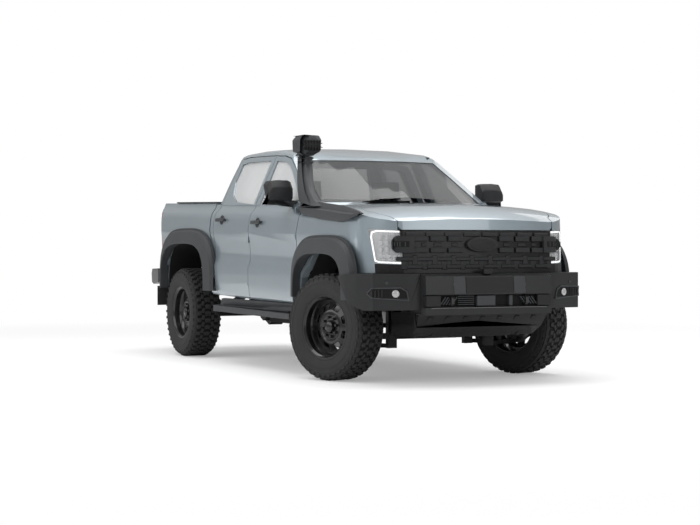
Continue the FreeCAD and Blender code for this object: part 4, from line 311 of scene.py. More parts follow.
def finish(thing, name, body, slot, *stands_for, angle=35):
    """Names a piece, shades it, gives it its finish and rides it on its body."""
    thing.name = name
    settle(thing)
    bpy.ops.object.shade_smooth_by_angle(angle=math.radians(angle))
    thing.data.materials.clear()
    thing.data.materials.append(FINISHES[slot])
    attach(thing, body)
    if stands_for:
        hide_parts(*stands_for)
    return thing


def edit(thing, *steps):
    """Runs operators in edit mode, each given as (operator, settings)."""
    only(thing)
    bpy.ops.object.mode_set(mode="EDIT")
    for operator, settings in steps:
        operator(**settings)
    bpy.ops.object.mode_set(mode="OBJECT")
    return thing


def joined(things):
    """Joins pieces that are one moulding or one set into one mesh, less those that missed their surface."""
    things = [thing for thing in things if thing]
    bpy.ops.object.select_all(action="DESELECT")
    for thing in things:
        thing.select_set(True)
    bpy.context.view_layer.objects.active = things[0]
    bpy.ops.object.join()
    return bpy.context.view_layer.objects.active


def block(centre, size, bevel=0.0, turn=None, segments=1):
    """A bevelled block: a cube primitive at its size and place, with its edges broken."""
    bpy.ops.mesh.primitive_cube_add(size=1, location=centre)
    thing = bpy.context.object
    thing.scale = size
    if turn is not None:
        thing.rotation_euler = turn
    settle(thing)
    if bevel:
        edit(thing, SELECT_ALL,
             (bpy.ops.mesh.bevel, {"offset": bevel, "segments": segments, "affect": "EDGES"}))
    return thing


def copied(thing, matrix=Matrix.Identity(4)):
    """A copy with its own mesh, moved by a matrix."""
    twin = thing.copy()
    twin.data = thing.data.copy()
    twin.data.transform(matrix)
    bpy.context.collection.objects.link(twin)
    return twin


def bare_copy(node):
    """The node's mesh in a new object, with its loose triangles welded."""
    twin = bpy.data.objects.new(node + "_copy", NODES[node].data.copy())
    bpy.context.collection.objects.link(twin)
    edit(twin, SELECT_ALL,
         (bpy.ops.mesh.remove_doubles, {"threshold": 0.00005}))
    return twin


def smooth_copy(node, bevel):
    """A welded, edge-rounded copy that stands for the CAD node."""
    twin = bare_copy(node)
    edit(twin, SELECT_ALL,
         (bpy.ops.mesh.dissolve_limited, {"angle_limit": math.radians(0.4)}))
    if bevel:
        rounded(twin, bevel, 2, SHARP, use_clamp_overlap=True)
    finish(twin, node + "_skin", BODY_OF[node], SLOT_OF[node], node, angle=SHARP)
    modify(twin, "WEIGHTED_NORMAL", keep_sharp=True, weight=80)
    return twin


# %% [markdown]
# ## Pressed panels and moulded trim
# Doors, wings, roof and bed are pressings with rolled edges of two or three millimetres, which catch a line
# of light. We weld and bevel a copy of each CAD node and let it stand for the node.

# %% Smooth copies of the panels and the trim
SHARP = 30
PANEL_EDGES = {
    "front_door_left": 0.003, "front_door_right": 0.003, "rear_door_left": 0.003,
    "rear_door_right": 0.003, "roof": 0.003, "cab_frame": 0.002, "hood": 0.005, "fenders": 0.003,
    "bed_body": 0.006, "tailgate": 0.006, "rear_bumper": 0.008, "front_bumper": 0.012,
    "side_steps": 0.006, "skid_plate": 0.004, "tail_lamps": 0.006,
    "tow_bar": 0.004, "ladder_frame": 0.004, "fuel_tank": 0.012, "dashboard": 0.02,
    "steering_wheel": 0.004, "engine_block": 0.01, "mudflaps": 0.003, "cab_floor": 0.004,
    "arch_liners": 0.0,
}
for node, edge in PANEL_EDGES.items():
    smooth_copy(node, edge)
below_bumper = block((2.27, 0, 0.60), (0.64, 2.4, 0.15))
modify(bpy.data.objects["fenders_skin"], "BOOLEAN", operation="DIFFERENCE", object=below_bumper,
       solver="EXACT")
bpy.data.objects.remove(below_bumper)
hooks = smooth_copy("recovery_hooks", 0.003)
hooks.data.materials[0] = FINISHES["nut_steel"]
print("smooth copies", len(PANEL_EDGES) + 1)

# %% [markdown]
# ## Tyres
# An all-terrain tyre is a carcass with rubber blocks on it: staggered blocks in the middle, lugs on the
# shoulders that reach down the sidewall. We turn the carcass like a potter from one profile, model one
# pitch of the tread, and copy the pitch round the wheel.

# %% Turning a profile about the wheel's axle
def turned(profile, steps):
    """Spins a closed profile of (radius, place) about the Y axis, starting from a circle primitive."""
    bpy.ops.mesh.primitive_circle_add(vertices=len(profile), radius=1, location=(0, 0, 0))
    thing = bpy.context.object
    for vertex, (radius, place) in zip(thing.data.vertices, profile):
        vertex.co = (radius, place, 0)
    edit(thing, SELECT_ALL,
         (bpy.ops.mesh.spin, {"steps": steps, "angle": math.tau, "center": (0, 0, 0), "axis": (0, 1, 0)}),
         SELECT_ALL,
         (bpy.ops.mesh.remove_doubles, {"threshold": 0.00002}),
         FACE_OUT)
    return thing


def ring_of(thing, count, offset=0.0):
    """Copies a piece round the axle, one mesh."""
    twins = [copied(thing, Matrix.Rotation(math.tau * (k + offset) / count, 4, "Y")) for k in range(count)]
    bpy.data.objects.remove(thing)
    return joined(twins)


# %% Carcass
TYRE_RADIUS = 0.421
SIDE_PROFILE = ((0.230, 0.104), (0.243, 0.122), (0.256, 0.130), (0.262, 0.1275), (0.290, 0.1365),
                (0.322, 0.139), (0.326, 0.1365), (0.350, 0.1365), (0.353, 0.139), (0.372, 0.1355),
                (0.392, 0.125), (0.403, 0.108), (0.409, 0.080), (0.409, 0.0))
carcass_profile = list(SIDE_PROFILE) + [(r, -y) for r, y in reversed(SIDE_PROFILE[:-1])]
carcass = turned(carcass_profile, 96)
print("carcass faces", len(carcass.data.polygons))

# %% One pitch of tread, copied round
PITCHES = 40
tread = []
for side in (1, -1):
    lean = math.radians(16 * side)
    rows = (
        (0.020, 0.012, 0.030, 0.040, 0.0, lean * 1.3, 0.0),
        (0.017, 0.047, 0.026, 0.046, 0.45, -lean * 1.2, 0.0),
        (0.018, 0.084, 0.034, 0.036, 0.05, lean * 0.4, 5.0),
        (0.020, 0.113, 0.030, 0.030, 0.55, 0.0, 26.0),
        (0.018, 0.118, 0.020, 0.044, 0.05, 0.0, 30.0),
    )
    for deep, place, wide, long, shift, turn, slope in rows:
        radius = TYRE_RADIUS - deep / 2 - (0.0 if slope < 20 else 0.0145 if slope < 28 else 0.019)
        lug = block((0, 0, 0), (deep, wide, long), 0.0025)
        spin = Matrix.Rotation(math.tau * shift / PITCHES, 4, "Y")
        lug.data.transform(spin @ Matrix.Translation((radius, place * side, 0))
                           @ Matrix.Rotation(math.radians(slope * side), 4, "Z")
                           @ Matrix.Rotation(turn, 4, "X"))
        tread.append(ring_of(lug, PITCHES))
for side in (1, -1):
    lug = block((0, 0, 0), (0.030, 0.007, 0.024), 0.002)
    lug.data.transform(Matrix.Translation((0.376, 0.1345 * side, 0))
                       @ Matrix.Rotation(math.radians(18 * side), 4, "Z"))
    tread.append(ring_of(lug, PITCHES, 0.05))
# A near-black band under the blocks is painted shade: it darkens the floor of the tread grooves.
groove_shade_master = turned(((0.4098, 0.100), (0.4098, -0.100), (0.404, -0.100), (0.404, 0.100)), 96)
tyre_master = joined([carcass] + tread)
print("tyre triangles", sum(len(face.vertices) - 2 for face in tyre_master.data.polygons))

# %% [markdown]
# ## Wheels
# The wheel is a deep gloss black dish with eight windows, eight nuts and a domed cap. We turn it, cut the
# windows with a Boolean, and break the edges so that each window keeps a bright rim of light.

# %% Dish with eight windows
DISH_PROFILE = (
    (0.246, 0.1235), (0.2395, 0.1235), (0.236, 0.116), (0.226, 0.108), (0.2225, 0.062), (0.207, 0.040),
    (0.205, 0.022), (0.196, 0.0245), (0.184, 0.026), (0.176, 0.030), (0.138, 0.055), (0.130, 0.0595),
    (0.104, 0.063), (0.098, 0.058), (0.052, 0.058), (0.052, 0.048), (0.104, 0.051), (0.130, 0.048),
    (0.176, 0.018), (0.196, 0.012), (0.207, 0.008), (0.213, -0.05), (0.232, -0.108), (0.240, -0.1235),
    (0.246, -0.1235), (0.236, -0.104), (0.218, -0.05), (0.213, 0.0), (0.229, 0.06), (0.236, 0.104),
)
WINDOWS = 8
dish = turned(DISH_PROFILE, 96)
window = block((0.157, 0.04, 0), (0.046, 0.12, 0.064), 0.009, segments=3)
window = ring_of(window, WINDOWS, 0.5)
modify(dish, "BOOLEAN", object=window, operation="DIFFERENCE", solver="EXACT")
bpy.data.objects.remove(window)
rounded(dish, 0.0022, 2, 40)
cap = turned(((0.0, 0.091), (0.026, 0.0905), (0.034, 0.087), (0.040, 0.0835), (0.044, 0.080),
              (0.0475, 0.050), (0.0, 0.050)), 48)
beads = turned(((0.1125, 0.0635), (0.1095, 0.0665), (0.1065, 0.0635), (0.1095, 0.0600)), 64)
wheel_master = joined([dish, cap, beads])

# %% Nuts and brake disc
bpy.ops.mesh.primitive_cylinder_add(vertices=6, radius=0.0125, depth=0.026, location=(0, 0, 0),
                                    rotation=(math.pi / 2, 0, 0))
nut = settle(bpy.context.object)
nut.data.transform(Matrix.Translation((0.0755, 0.066, 0)))
rounded(nut, 0.002, 1, 40)
nut_master = ring_of(nut, WINDOWS, 0.25)
disc_master = turned(((0.070, -0.027), (0.070, 0.010), (0.090, 0.012), (0.094, -0.026), (0.165, -0.027),
                      (0.165, -0.034), (0.10, -0.036), (0.10, -0.041), (0.165, -0.043), (0.165, -0.049),
                      (0.070, -0.049)), 64)

# %% Wheels in place
for joint in frame["joints"]:
    if not joint["name"].startswith("wheel_spin"):
        continue
    corner = joint["name"].replace("wheel_spin_", "")
    body = joint["child"]
    left = corner.endswith("left")
    outward = Vector(joint["axis"]).normalized() * (1 if left else -1)
    across = outward.cross(Vector((0, 0, 1)))
    place = Matrix.Translation(joint["pos_m"]) @ Matrix(
        (across, outward, Vector((0, 0, 1)))).transposed().to_4x4()
    finish(copied(tyre_master, place), "tread_" + corner, body, "tyre", "tyre_" + corner, angle=30)
    finish(copied(groove_shade_master, place), "tread_base_" + corner, body, "void_black")
    finish(copied(wheel_master, place), "wheel_" + corner, body, "wheel_black", "rim_" + corner, angle=30)
    finish(copied(nut_master, place), "nuts_" + corner, body, "nut_steel")
    finish(copied(disc_master, place), "brake_disc_" + corner, body, "raw_steel")
for master in (tyre_master, groove_shade_master, wheel_master, nut_master, disc_master):
    bpy.data.objects.remove(master)
print("wheels dressed")

# %% [markdown]
# ## Grille
# The grille is a dark panel with rows of moulded bricks, a double bar across it with rounded vents at its
# ends, and a plain oval boss. Each brick is laid on the panel by a ray from ahead, so that it follows the
# panel's curve.

# %% Laying pieces on a surface
def surface_of(*nodes):
    """Trees for rays, of the CAD nodes."""
    trees = []
    for node in nodes:
        mesh = bmesh.new()
        mesh.from_mesh(NODES[node].data)
        trees.append(BVHTree.FromBMesh(mesh))
        mesh.free()
    return trees


def meet(trees, start, toward):
    """The nearest point that a ray meets on any of the trees, and the surface's normal there."""
    best = (None, None, math.inf)
    for tree in trees:
        spot, normal, _, reach = tree.ray_cast(Vector(start), Vector(toward).normalized())
        if spot is not None and reach < best[2]:
            best = (spot, normal, reach)
    return best[:2]


def seated(spot, normal, axis, up):
    """The place of a piece whose axis lies along a surface's normal."""
    return Matrix.Translation(spot) @ normal.to_track_quat(axis, up).to_matrix().to_4x4()


def touch(trees, start, toward):
    return meet(trees, start, toward)[0]


AHEAD = 4.0
FROM_AHEAD = Vector((-1, 0, 0))
NOSE_START = Vector((1.9 + AHEAD, 0, 0))


def laid(trees, low_y, high_y, low_z, high_z, proud, bevel=0.003, segments=1, sunk=0.006):
    """A bevelled block over a patch of a surface, turned to lie along it."""

    def hit(y, z):
        return touch(trees, NOSE_START + Vector((0, y, z)), FROM_AHEAD)

    middle_y, middle_z = (low_y + high_y) / 2, (low_z + high_z) / 2
    inner = hit(low_y * 0.98 + high_y * 0.02, middle_z)
    outer = hit(low_y * 0.02 + high_y * 0.98, middle_z)
    under, over = hit(middle_y, low_z * 0.9 + high_z * 0.1), hit(middle_y, low_z * 0.1 + high_z * 0.9)
    centre = hit(middle_y, middle_z)
    if None in (inner, outer, under, over, centre):
        print("missed the surface at", round(middle_y, 3), round(middle_z, 3))
        return None
    along = (outer - inner).normalized()
    up = over - under
    up = (up - along * up.dot(along)).normalized()
    normal = along.cross(up).normalized()
    if normal.dot(FROM_AHEAD) > 0:
        normal = -normal
    long = (outer - inner).length / 0.96
    tall = (over - under).length / 0.8
    thing = block((0, 0, 0), (proud + sunk, long, tall), bevel, segments=segments)
    turn = Matrix((normal, along, up)).transposed()
    if turn.determinant() < 0:
        turn = Matrix((normal, -along, up)).transposed()
    thing.data.transform(Matrix.Translation(centre + normal * (proud - sunk) / 2) @ turn.to_4x4())
    return thing


def laid_on(side, trees, near, far, *rest, **more):
    """The same on one side of the middle, between two distances from it."""
    return laid(trees, *sorted((near * side, far * side)), *rest, **more)


# %% Bricks, bars and vents
grille_face = surface_of("grille", "headlamps")
PITCH = 0.158
bricks = []
for row_low, row_high, count, size in (
        (1.126, 1.158, 8, 0.138), (0.942, 0.972, 9, 0.128), (0.885, 0.914, 8, 0.128)):
    for k in range(count):
        middle = (k - (count - 1) / 2) * PITCH
        reach = 0.655 if row_low > 1.1 else 0.70
        low, high = max(middle - size / 2, -reach), min(middle + size / 2, reach)
        if high - low > 0.03:
            bricks.append(laid(grille_face, low, high, row_low, row_high, 0.012, 0.005))
for k in range(9):
    middle = (k - 4) * PITCH + PITCH / 2
    if abs(middle) < 0.66:
        bricks.append(laid(grille_face, middle - 0.022, middle + 0.022, 0.912, 0.985, 0.007, 0.004))
    middle = (k - 4) * PITCH
    bricks.append(laid(grille_face, middle - 0.026, middle + 0.026, 0.876, 0.944, 0.004, 0.004))
for low_z, high_z in ((1.090, 1.130), (1.004, 1.042)):
    for low, high in ((0.155, 0.285), (0.303, 0.433), (0.451, 0.60)):
        for side in (1, -1):
            bricks.append(laid_on(side, grille_face, low, high, low_z, high_z, 0.020, 0.006, segments=2))
for low, high in ((0.20, 0.25), (0.33, 0.40), (0.46, 0.50)):
    for side in (1, -1):
        bricks.append(laid_on(side, grille_face, low, high, 1.052, 1.080, 0.008, 0.004))
finish(joined(bricks), "grille_bricks", "vehicle", "dark_trim")


VENT_REACHES = (0.742, 0.725, 0.705, 0.685)


def vent_end(side):
    """The end of the double bar, out to the furthest reach that still meets the lamp or the panel."""
    for reach in VENT_REACHES:
        thing = laid_on(side, grille_face, 0.560, reach, 1.004, 1.130, 0.020, 0.0)
        if thing:
            print("vent end reaches", reach)
            break
    edit(thing, (bpy.ops.mesh.select_all, {"action": "DESELECT"}))
    spots = thing.data.vertices
    for line in thing.data.edges:
        a, b = (spots[index].co for index in line.vertices)
        line.select = (a - b).length < 0.03 and abs(a.y) > 0.66
    edit(thing, (bpy.ops.mesh.bevel, {"offset": 0.046, "segments": 8, "affect": "EDGES"}))
    return rounded(thing, 0.004, 2, 50)


vents, ribs, slot_shades = [], [], []
for side in (1, -1):
    vents.append(vent_end(side))
    # The vent slots are painted shade: flat near-black sheets stand for the shade inside the vent openings.
    slot_shades.append(laid_on(side, grille_face, 0.598, 0.716, 1.046, 1.090, 0.0212, 0.001))
    for k in range(6):
        middle = 0.612 + 0.018 * k
        ribs.append(laid_on(side, grille_face, middle - 0.0035, middle + 0.0035, 1.051, 1.085, 0.024, 0.001))
bpy.ops.mesh.primitive_cylinder_add(vertices=64, radius=0.5, depth=1, rotation=(0, math.pi / 2, 0))
boss = settle(bpy.context.object)
centre = touch(grille_face, (AHEAD, 0, 1.067), FROM_AHEAD)
boss.data.transform(Matrix.Translation(centre + Vector((0.008, 0, 0)))
                    @ Matrix.Diagonal((0.044, 0.268, 0.112, 1)))
edit(boss, SELECT_ALL,
     (bpy.ops.mesh.bevel, {"offset": 0.006, "segments": 3, "affect": "EDGES"}))
plate = copied(boss, Matrix.Translation(centre) @ Matrix.Diagonal((1.12, 0.86, 0.80, 1))
               @ Matrix.Translation(-centre))
finish(joined(vents), "grille_end_vents", "vehicle", "dark_trim")
finish(joined(ribs), "grille_vent_ribs", "vehicle", "textured_plastic")
finish(joined(slot_shades), "grille_vent_slots", "vehicle", "void_black")
finish(boss, "grille_boss", "vehicle", "dark_trim")
finish(plate, "grille_boss_plate", "vehicle", "satin_plastic")

# %% [markdown]
# ## Head lamps
# Each lamp is a clear cover over a pale bowl, with stacked square projectors and a white light bar bent
# like a C round its outer side. We take the outward faces of the CAD lamp for the cover, push a copy of them
# inward for the bowl, and lay the bars and projectors between the two.

# %% Bars between points of a surface
def bar(start, end, normal, wide, thick, bevel=0.0015):
    """A bevelled bar from one point to another, its back on the surface."""
    along = end - start
    length = along.length + wide * 0.6
    along.normalize()
    normal = (normal - along * normal.dot(along)).normalized()
    turn = Matrix((along, normal, along.cross(normal))).transposed().to_4x4()
    thing = block((0, 0, 0), (length, thick, wide), bevel)
    thing.data.transform(Matrix.Translation((start + end) / 2 + normal * thick / 2) @ turn)
    return thing


def trail(trees, points, wide, thick, depth=0.0):
    """Bars that follow a line of (y, z) points on a surface, a given depth under it."""
    met = [meet(trees, NOSE_START + Vector((0, y, z)), FROM_AHEAD) for y, z in points]
    met = [(spot - normal * depth, normal) for spot, normal in met if spot is not None]
    return [bar(a, b, (m + n) / 2, wide, thick) for (a, m), (b, n) in zip(met, met[1:])]


# %% Cover, bowl, light bar and projectors
lamp_face = surface_of("headlamps")
LAMP_DEPTH = 0.045
LIGHT_LINE = ((0.668, 1.163), (0.72, 1.165), (0.77, 1.167), (0.812, 1.169), (0.834, 1.158), (0.838, 1.12),
              (0.836, 1.05), (0.830, 0.985), (0.820, 0.945), (0.800, 0.934), (0.75, 0.931), (0.70, 0.929),
              (0.655, 0.928))
BROW_LINE = ((0.67, 1.143), (0.73, 1.145), (0.79, 1.147))


def projector(y, z, size, bevel, depth):
    """A square lamp sunk under the cover, or nothing where the ray misses the lamp."""
    spot, normal = meet(lamp_face, Vector((AHEAD, y, z)), FROM_AHEAD)
    if spot is None:
        return None
    cube = block((0, 0, 0), size, bevel, segments=2)
    cube.data.transform(seated(spot - normal * depth, normal, "X", "Z"))
    return cube


bar_parts, cube_parts, brow_parts = [], [], []
for side in (-1, 1):
    bar_parts += trail(lamp_face, [(y * side, z) for y, z in LIGHT_LINE], 0.013, 0.006, 0.008)
    cube_parts += [projector((0.795 - 0.042 * column) * side, 1.125 - 0.048 * row, (0.024, 0.030, 0.036),
                             0.006, 0.030) for row in range(4) for column in range(2)]
    cube_parts += [projector((0.665 + 0.036 * column) * side, 0.955 + 0.026 * row, (0.018, 0.026, 0.018),
                             0.005, 0.026) for row in range(2) for column in range(4)]
    brow_parts += trail(lamp_face, [(y * side, z) for y, z in BROW_LINE], 0.010, 0.004, 0.012)

white = Finish("light_bar_white")
haze = white.noise(40.0)
FINISHES["light_bar"] = white.surface(
    Base_Color=white.mix(haze, grey(0.80), grey(0.88)), Roughness=0.25,
    Emission_Color=white.mix(haze, grey(0.85), grey(1.0)), Emission_Strength=0.7)
finish(joined(bar_parts), "lamp_light_bars", "vehicle", "light_bar")
finish(joined(cube_parts + brow_parts), "lamp_projectors", "vehicle", "lamp_silver")

cover = bare_copy("headlamps")
only(cover)
bpy.ops.object.mode_set(mode="EDIT")
bpy.ops.mesh.select_mode(type="FACE")
bpy.ops.mesh.select_all(action="DESELECT")
bpy.ops.object.mode_set(mode="OBJECT")
for face in cover.data.polygons:
    out = Vector((0.75, 0.66 if face.center.y > 0 else -0.66, 0))
    face.select = face.normal.dot(out) < 0.35
edit(cover, (bpy.ops.mesh.delete, {"type": "FACE"}))
bowl = copied(cover)
modify(cover, "SOLIDIFY", thickness=0.003, offset=-1)
modify(bowl, "SOLIDIFY", thickness=0.006, offset=-1)
edit(bowl, SELECT_ALL,
     (bpy.ops.mesh.dissolve_limited, {"angle_limit": 0.01}))
for vertex in bowl.data.vertices:
    vertex.co += Vector((-LAMP_DEPTH, -0.012 if vertex.co.y > 0 else 0.012, 0))
finish(cover, "lamp_covers", "vehicle", "lamp_clear", "headlamps")
finish(bowl, "lamp_bowls", "vehicle", "lamp_silver")

# %% [markdown]
# ## Front bumper
# The bumper is folded plate: a proud middle with a blank plate between two lighter bands, a slot with slanted ribs
# and louvres below it, a painted highlight along the lip, and fog lamps let into the wings. The slot and the fog
# lamp housings are backed by near-black sheets of painted shade.

# %% Bumper trim
bumper_face = surface_of("front_bumper")
dark, band, gleam, shade = [], [], [], []
dark.append(laid(bumper_face, -0.205, 0.205, 0.703, 0.823, 0.005, 0.002))
for side in (1, -1):
    band.append(laid_on(side, bumper_face, 0.210, 0.310, 0.695, 0.826, 0.004, 0.002))
    dark.append(laid_on(side, bumper_face, 0.420, 0.543, 0.602, 0.684, 0.044, 0.003))
# A near-black sheet across the slot is painted shade, standing for the shade inside the slot.
shade.append(laid(bumper_face, -0.415, 0.415, 0.600, 0.684, 0.002, 0.0))
for k in range(5):
    for way in (1, -1):
        middle = (-0.395 + k * 0.024) * way
        rib = laid(bumper_face, middle - 0.004, middle + 0.004, 0.606, 0.680, 0.030, 0.001)
        if rib:
            pivot = Matrix.Translation((0, middle, 0.643))
            rib.data.transform(pivot @ Matrix.Rotation(math.radians(-38 * way), 4, "X") @ pivot.inverted())
        band.append(rib)
    level = 0.612 + k * 0.0155
    band.append(laid(bumper_face, -0.265, -0.125, level, level + 0.006, 0.022, 0.001))
band.append(laid(bumper_face, -0.105, 0.055, 0.603, 0.682, 0.034, 0.004))
band.append(laid(bumper_face, 0.175, 0.205, 0.603, 0.682, 0.034, 0.003))
# A thin grey bar along the lip is a painted highlight, standing for the line of light the lip catches.
for side in (1, -1):
    gleam += trail(bumper_face, [(y * side, 0.590) for y in (0.0, 0.25, 0.50)], 0.005, 0.004)
tab = block((2.676, 0, 0.862), (0.050, 0.078, 0.040), 0.008, segments=2)
dark.append(tab)
for side in (1, -1):
    for y, z in ((0.307, 0.765), (0.800, 0.778)):
        spot, normal = meet(bumper_face, (AHEAD, y * side, z), FROM_AHEAD)
        bpy.ops.mesh.primitive_cylinder_add(vertices=20, radius=0.011, depth=0.006)
        eye = settle(bpy.context.object)
        eye.data.transform(seated(spot + normal * 0.002, normal, "Z", "Y"))
        rounded(eye, 0.0015, 2, SHARP)
        band.append(eye)

# %% Fog lamps in the wings
FOG_LINE = ((0.640, 0.648), (0.905, 0.668), (0.925, 0.700), (0.905, 0.738), (0.700, 0.744), (0.655, 0.716),
            (0.640, 0.648))
FOG_PROFILE = ((0.0, 0.012), (0.012, 0.011), (0.022, 0.008), (0.028, 0.004), (0.028, -0.004), (0.0, -0.004))
fog_glass = []
for side in (1, -1):
    hits = [meet(bumper_face, Vector((AHEAD, y * side, z)), FROM_AHEAD) for y, z in FOG_LINE]
    hits = [(spot, normal) for spot, normal in hits if spot is not None]
    for (a, m), (b, n) in zip(hits, hits[1:]):
        band.append(bar(a, b, (m + n) / 2, 0.010, 0.008, 0.002))
    # Near-black sheets in the fog lamp housings are painted shade.
    for near, far in ((0.655, 0.80), (0.80, 0.905)):
        shade.append(laid_on(side, bumper_face, near, far, 0.664, 0.733, 0.002, 0.0))
    for k in range(3):
        middle = 0.835 + 0.024 * k
        dark.append(laid_on(side, bumper_face, middle - 0.006, middle + 0.006, 0.672, 0.726, 0.007, 0.001))
    spot, normal = meet(bumper_face, (AHEAD, 0.735 * side, 0.698), FROM_AHEAD)
    glint = turned(FOG_PROFILE, 32)
    glint.data.transform(seated(spot, normal, "Y", "Z"))
    fog_glass.append(glint)
finish(joined(dark), "bumper_dark_panels", "vehicle", "satin_plastic")
finish(joined(band), "bumper_bands", "vehicle", "textured_plastic")
finish(joined(shade), "bumper_recesses", "vehicle", "void_black")
finish(joined(gleam), "bumper_lip_line", "vehicle", "bumper_grey")
finish(joined(fog_glass), "fog_lamps", "vehicle", "lamp_silver")
print("front trimmed")

# %% [markdown]
# ## Wheel arches
# The arch moulding is one band bent over the wheel, round at its shoulders and straight in its legs. We place a
# section at many points of a squared arch and extrude from one to the next. A near-black lining, grown the same
# way, closes each wheel well: painted shade that makes the well read dark.

# %% Growing a form ring by ring
def grown(rings, bevel, segments=3):
    """Extrudes a face from ring to ring; each ring is a list of points."""
    bpy.ops.mesh.primitive_circle_add(vertices=len(rings[0]), radius=1, fill_type="NGON")
    thing = bpy.context.object
    for vertex, spot in zip(thing.data.vertices, rings[0]):
        vertex.co = spot
    for ring in rings[1:]:
        edit(thing, (bpy.ops.mesh.extrude_region_move, {}))
        fresh = [vertex for vertex in thing.data.vertices if vertex.select]
        for vertex, spot in zip(fresh, ring):
            vertex.co = spot
    edit(thing, SELECT_ALL,
         FACE_OUT)
    if bevel:
        rounded(thing, bevel, segments, SHARP, use_clamp_overlap=True)
    return thing


# %% Wheel arch mouldings
def arch(turned_share, middle, reach, foot_z, top_z, power=0.60):
    """A point on a squared arch, from its front foot to its rear foot."""
    angle = math.pi * turned_share
    level, rise = math.cos(angle), math.sin(angle)
    return (middle + reach * math.copysign(abs(level) ** power, level),
            foot_z + (top_z - foot_z) * max(rise, 0.0) ** power)


def flare(node, side, steps=40):
    """One arch moulding inside the CAD node's box."""
    low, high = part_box(node)
    middle, reach = (low.x + high.x) / 2, (high.x - low.x) / 2 - 0.004
    rings = []
    for k in range(steps + 1):
        share = k / steps
        outer = arch(share, middle, reach, low.z, high.z - 0.004)
        ridge = arch(share, middle, reach - 0.030, low.z, high.z - 0.034)
        lip = arch(share, middle, reach - 0.128, low.z, high.z - 0.142)
        well = arch(share, middle, reach - 0.134, low.z, high.z - 0.150)
        rings.append([Vector((x, y * side, z)) for (x, z), y in (
            (outer, 0.925), (outer, 0.952), (ridge, 0.978), (lip, 1.010), (well, 1.004), (well, 0.925))])
    return grown(rings, 0)


for node in ("front_flares", "rear_flares"):
    band = joined([flare(node, side) for side in (1, -1)])
    finish(band, node + "_skin", BODY_OF[node], SLOT_OF[node], node, angle=28)


# %% Linings of the wheel wells, near-black as painted shade
LINING_STEPS = 28
for name, middle, reach, top_z, low_y, high_y in (("rear", -1.45, 0.575, 1.090, 0.59, 0.922),
                                                  ("front", 1.735, 0.470, 1.010, 0.64, 0.922)):
    for side, hand in SIDES:
        rings = []
        for k in range(LINING_STEPS + 1):
            inner, outer = (arch(k / LINING_STEPS, middle, reach + wall, 0.60, top_z + wall)
                            for wall in (0.0, 0.008))
            rings.append([Vector((x, y * side, z)) for (x, z), y in (
                (inner, low_y), (inner, high_y), (outer, high_y), (outer, low_y))])
        finish(grown(rings, 0), name + "_well_lining_" + hand, "vehicle", "void_black")
for side, hand in SIDES:
    # A near-black wall closes the inner side of each rear well as painted shade.
    wall = block((-1.45, 0.588 * side, 0.86), (1.10, 0.008, 0.40), 0.002)
    finish(wall, "rear_well_wall_" + hand, "vehicle", "void_black")

# %% [markdown]
# ## Snorkel
# The air intake is one tapered moulding: a wedge along the wing, a duct up the pillar, a clamped collar and
# a head that faces forward behind a mesh. We grow it ring by ring with extrude.

# %% The duct
def level_ring(low_x, high_x, low_y, high_y, z, cut=0.3):
    """Eight points of a chamfered rectangle at one height."""
    cx, cy = (high_x - low_x) * cut / 2, (high_y - low_y) * cut
    return [Vector(spot + (z,)) for spot in (
        (low_x + cx, low_y), (high_x - cx, low_y), (high_x, low_y + cy), (high_x, high_y - cy),
        (high_x - cx, high_y), (low_x + cx, high_y), (low_x, high_y - cy), (low_x, low_y + cy))]


def wedge_ring(x, points):
    """A section across the wing."""
    return [Vector((x, y, z)) for y, z in points]


duct = [
    grown([wedge_ring(2.335, ((-0.902, 1.290), (-0.906, 1.300), (-0.890, 1.308), (-0.872, 1.300))),
           wedge_ring(2.210, ((-0.935, 1.256), (-0.946, 1.300), (-0.905, 1.340), (-0.842, 1.322))),
           wedge_ring(2.040, ((-0.942, 1.238), (-0.954, 1.312), (-0.905, 1.368), (-0.815, 1.345))),
           wedge_ring(1.640, ((-0.942, 1.268), (-0.954, 1.345), (-0.905, 1.402), (-0.800, 1.380))),
           wedge_ring(1.260, ((-0.935, 1.318), (-0.945, 1.372), (-0.885, 1.425), (-0.800, 1.400)))], 0.010),
    grown([level_ring(1.215, 1.640, -0.948, -0.832, 1.372), level_ring(1.195, 1.470, -0.938, -0.832, 1.425),
           level_ring(1.120, 1.330, -0.912, -0.815, 1.505), level_ring(1.000, 1.170, -0.862, -0.765, 1.620),
           level_ring(0.905, 1.035, -0.815, -0.715, 1.735), level_ring(0.895, 1.020, -0.808, -0.708, 1.800)],
          0.010),
]
for level, proud in ((1.742, 0.007), (1.778, 0.004), (1.806, 0.007)):
    duct.append(grown([level_ring(0.897 - proud, 1.026 + proud, -0.812 - proud, -0.708 + proud, z)
                       for z in (level, level + 0.015)], 0.003, 2))
duct.append(grown([
    level_ring(0.895, 1.030, -0.815, -0.700, 1.812), level_ring(0.860, 1.085, -0.845, -0.660, 1.840),
    level_ring(0.855, 1.100, -0.848, -0.655, 1.935), level_ring(0.890, 1.085, -0.825, -0.675, 1.972)],
    0.012, 4))
finish(joined(duct), "snorkel_body", "vehicle", "textured_plastic", "snorkel", angle=30)
# The mouth is painted shade: a near-black block behind the mesh stands for the dark inside the intake.
mouth_shade = block((1.094, -0.752, 1.888), (0.016, 0.152, 0.086), 0.006)
mesh_bars = []
for k in range(5):
    for tilt in (30, -30, 90):
        wire = block((0, 0, 0), (0.006, 0.080, 0.005), 0.001)
        wire.data.transform(Matrix.Translation((1.103, -0.752 + (k - 2) * 0.026, 1.888))
                            @ Matrix.Rotation(math.radians(tilt), 4, "X"))
        mesh_bars.append(wire)
finish(mouth_shade, "snorkel_mouth", "vehicle", "void_black")
finish(joined(mesh_bars), "snorkel_mesh", "vehicle", "dark_trim")

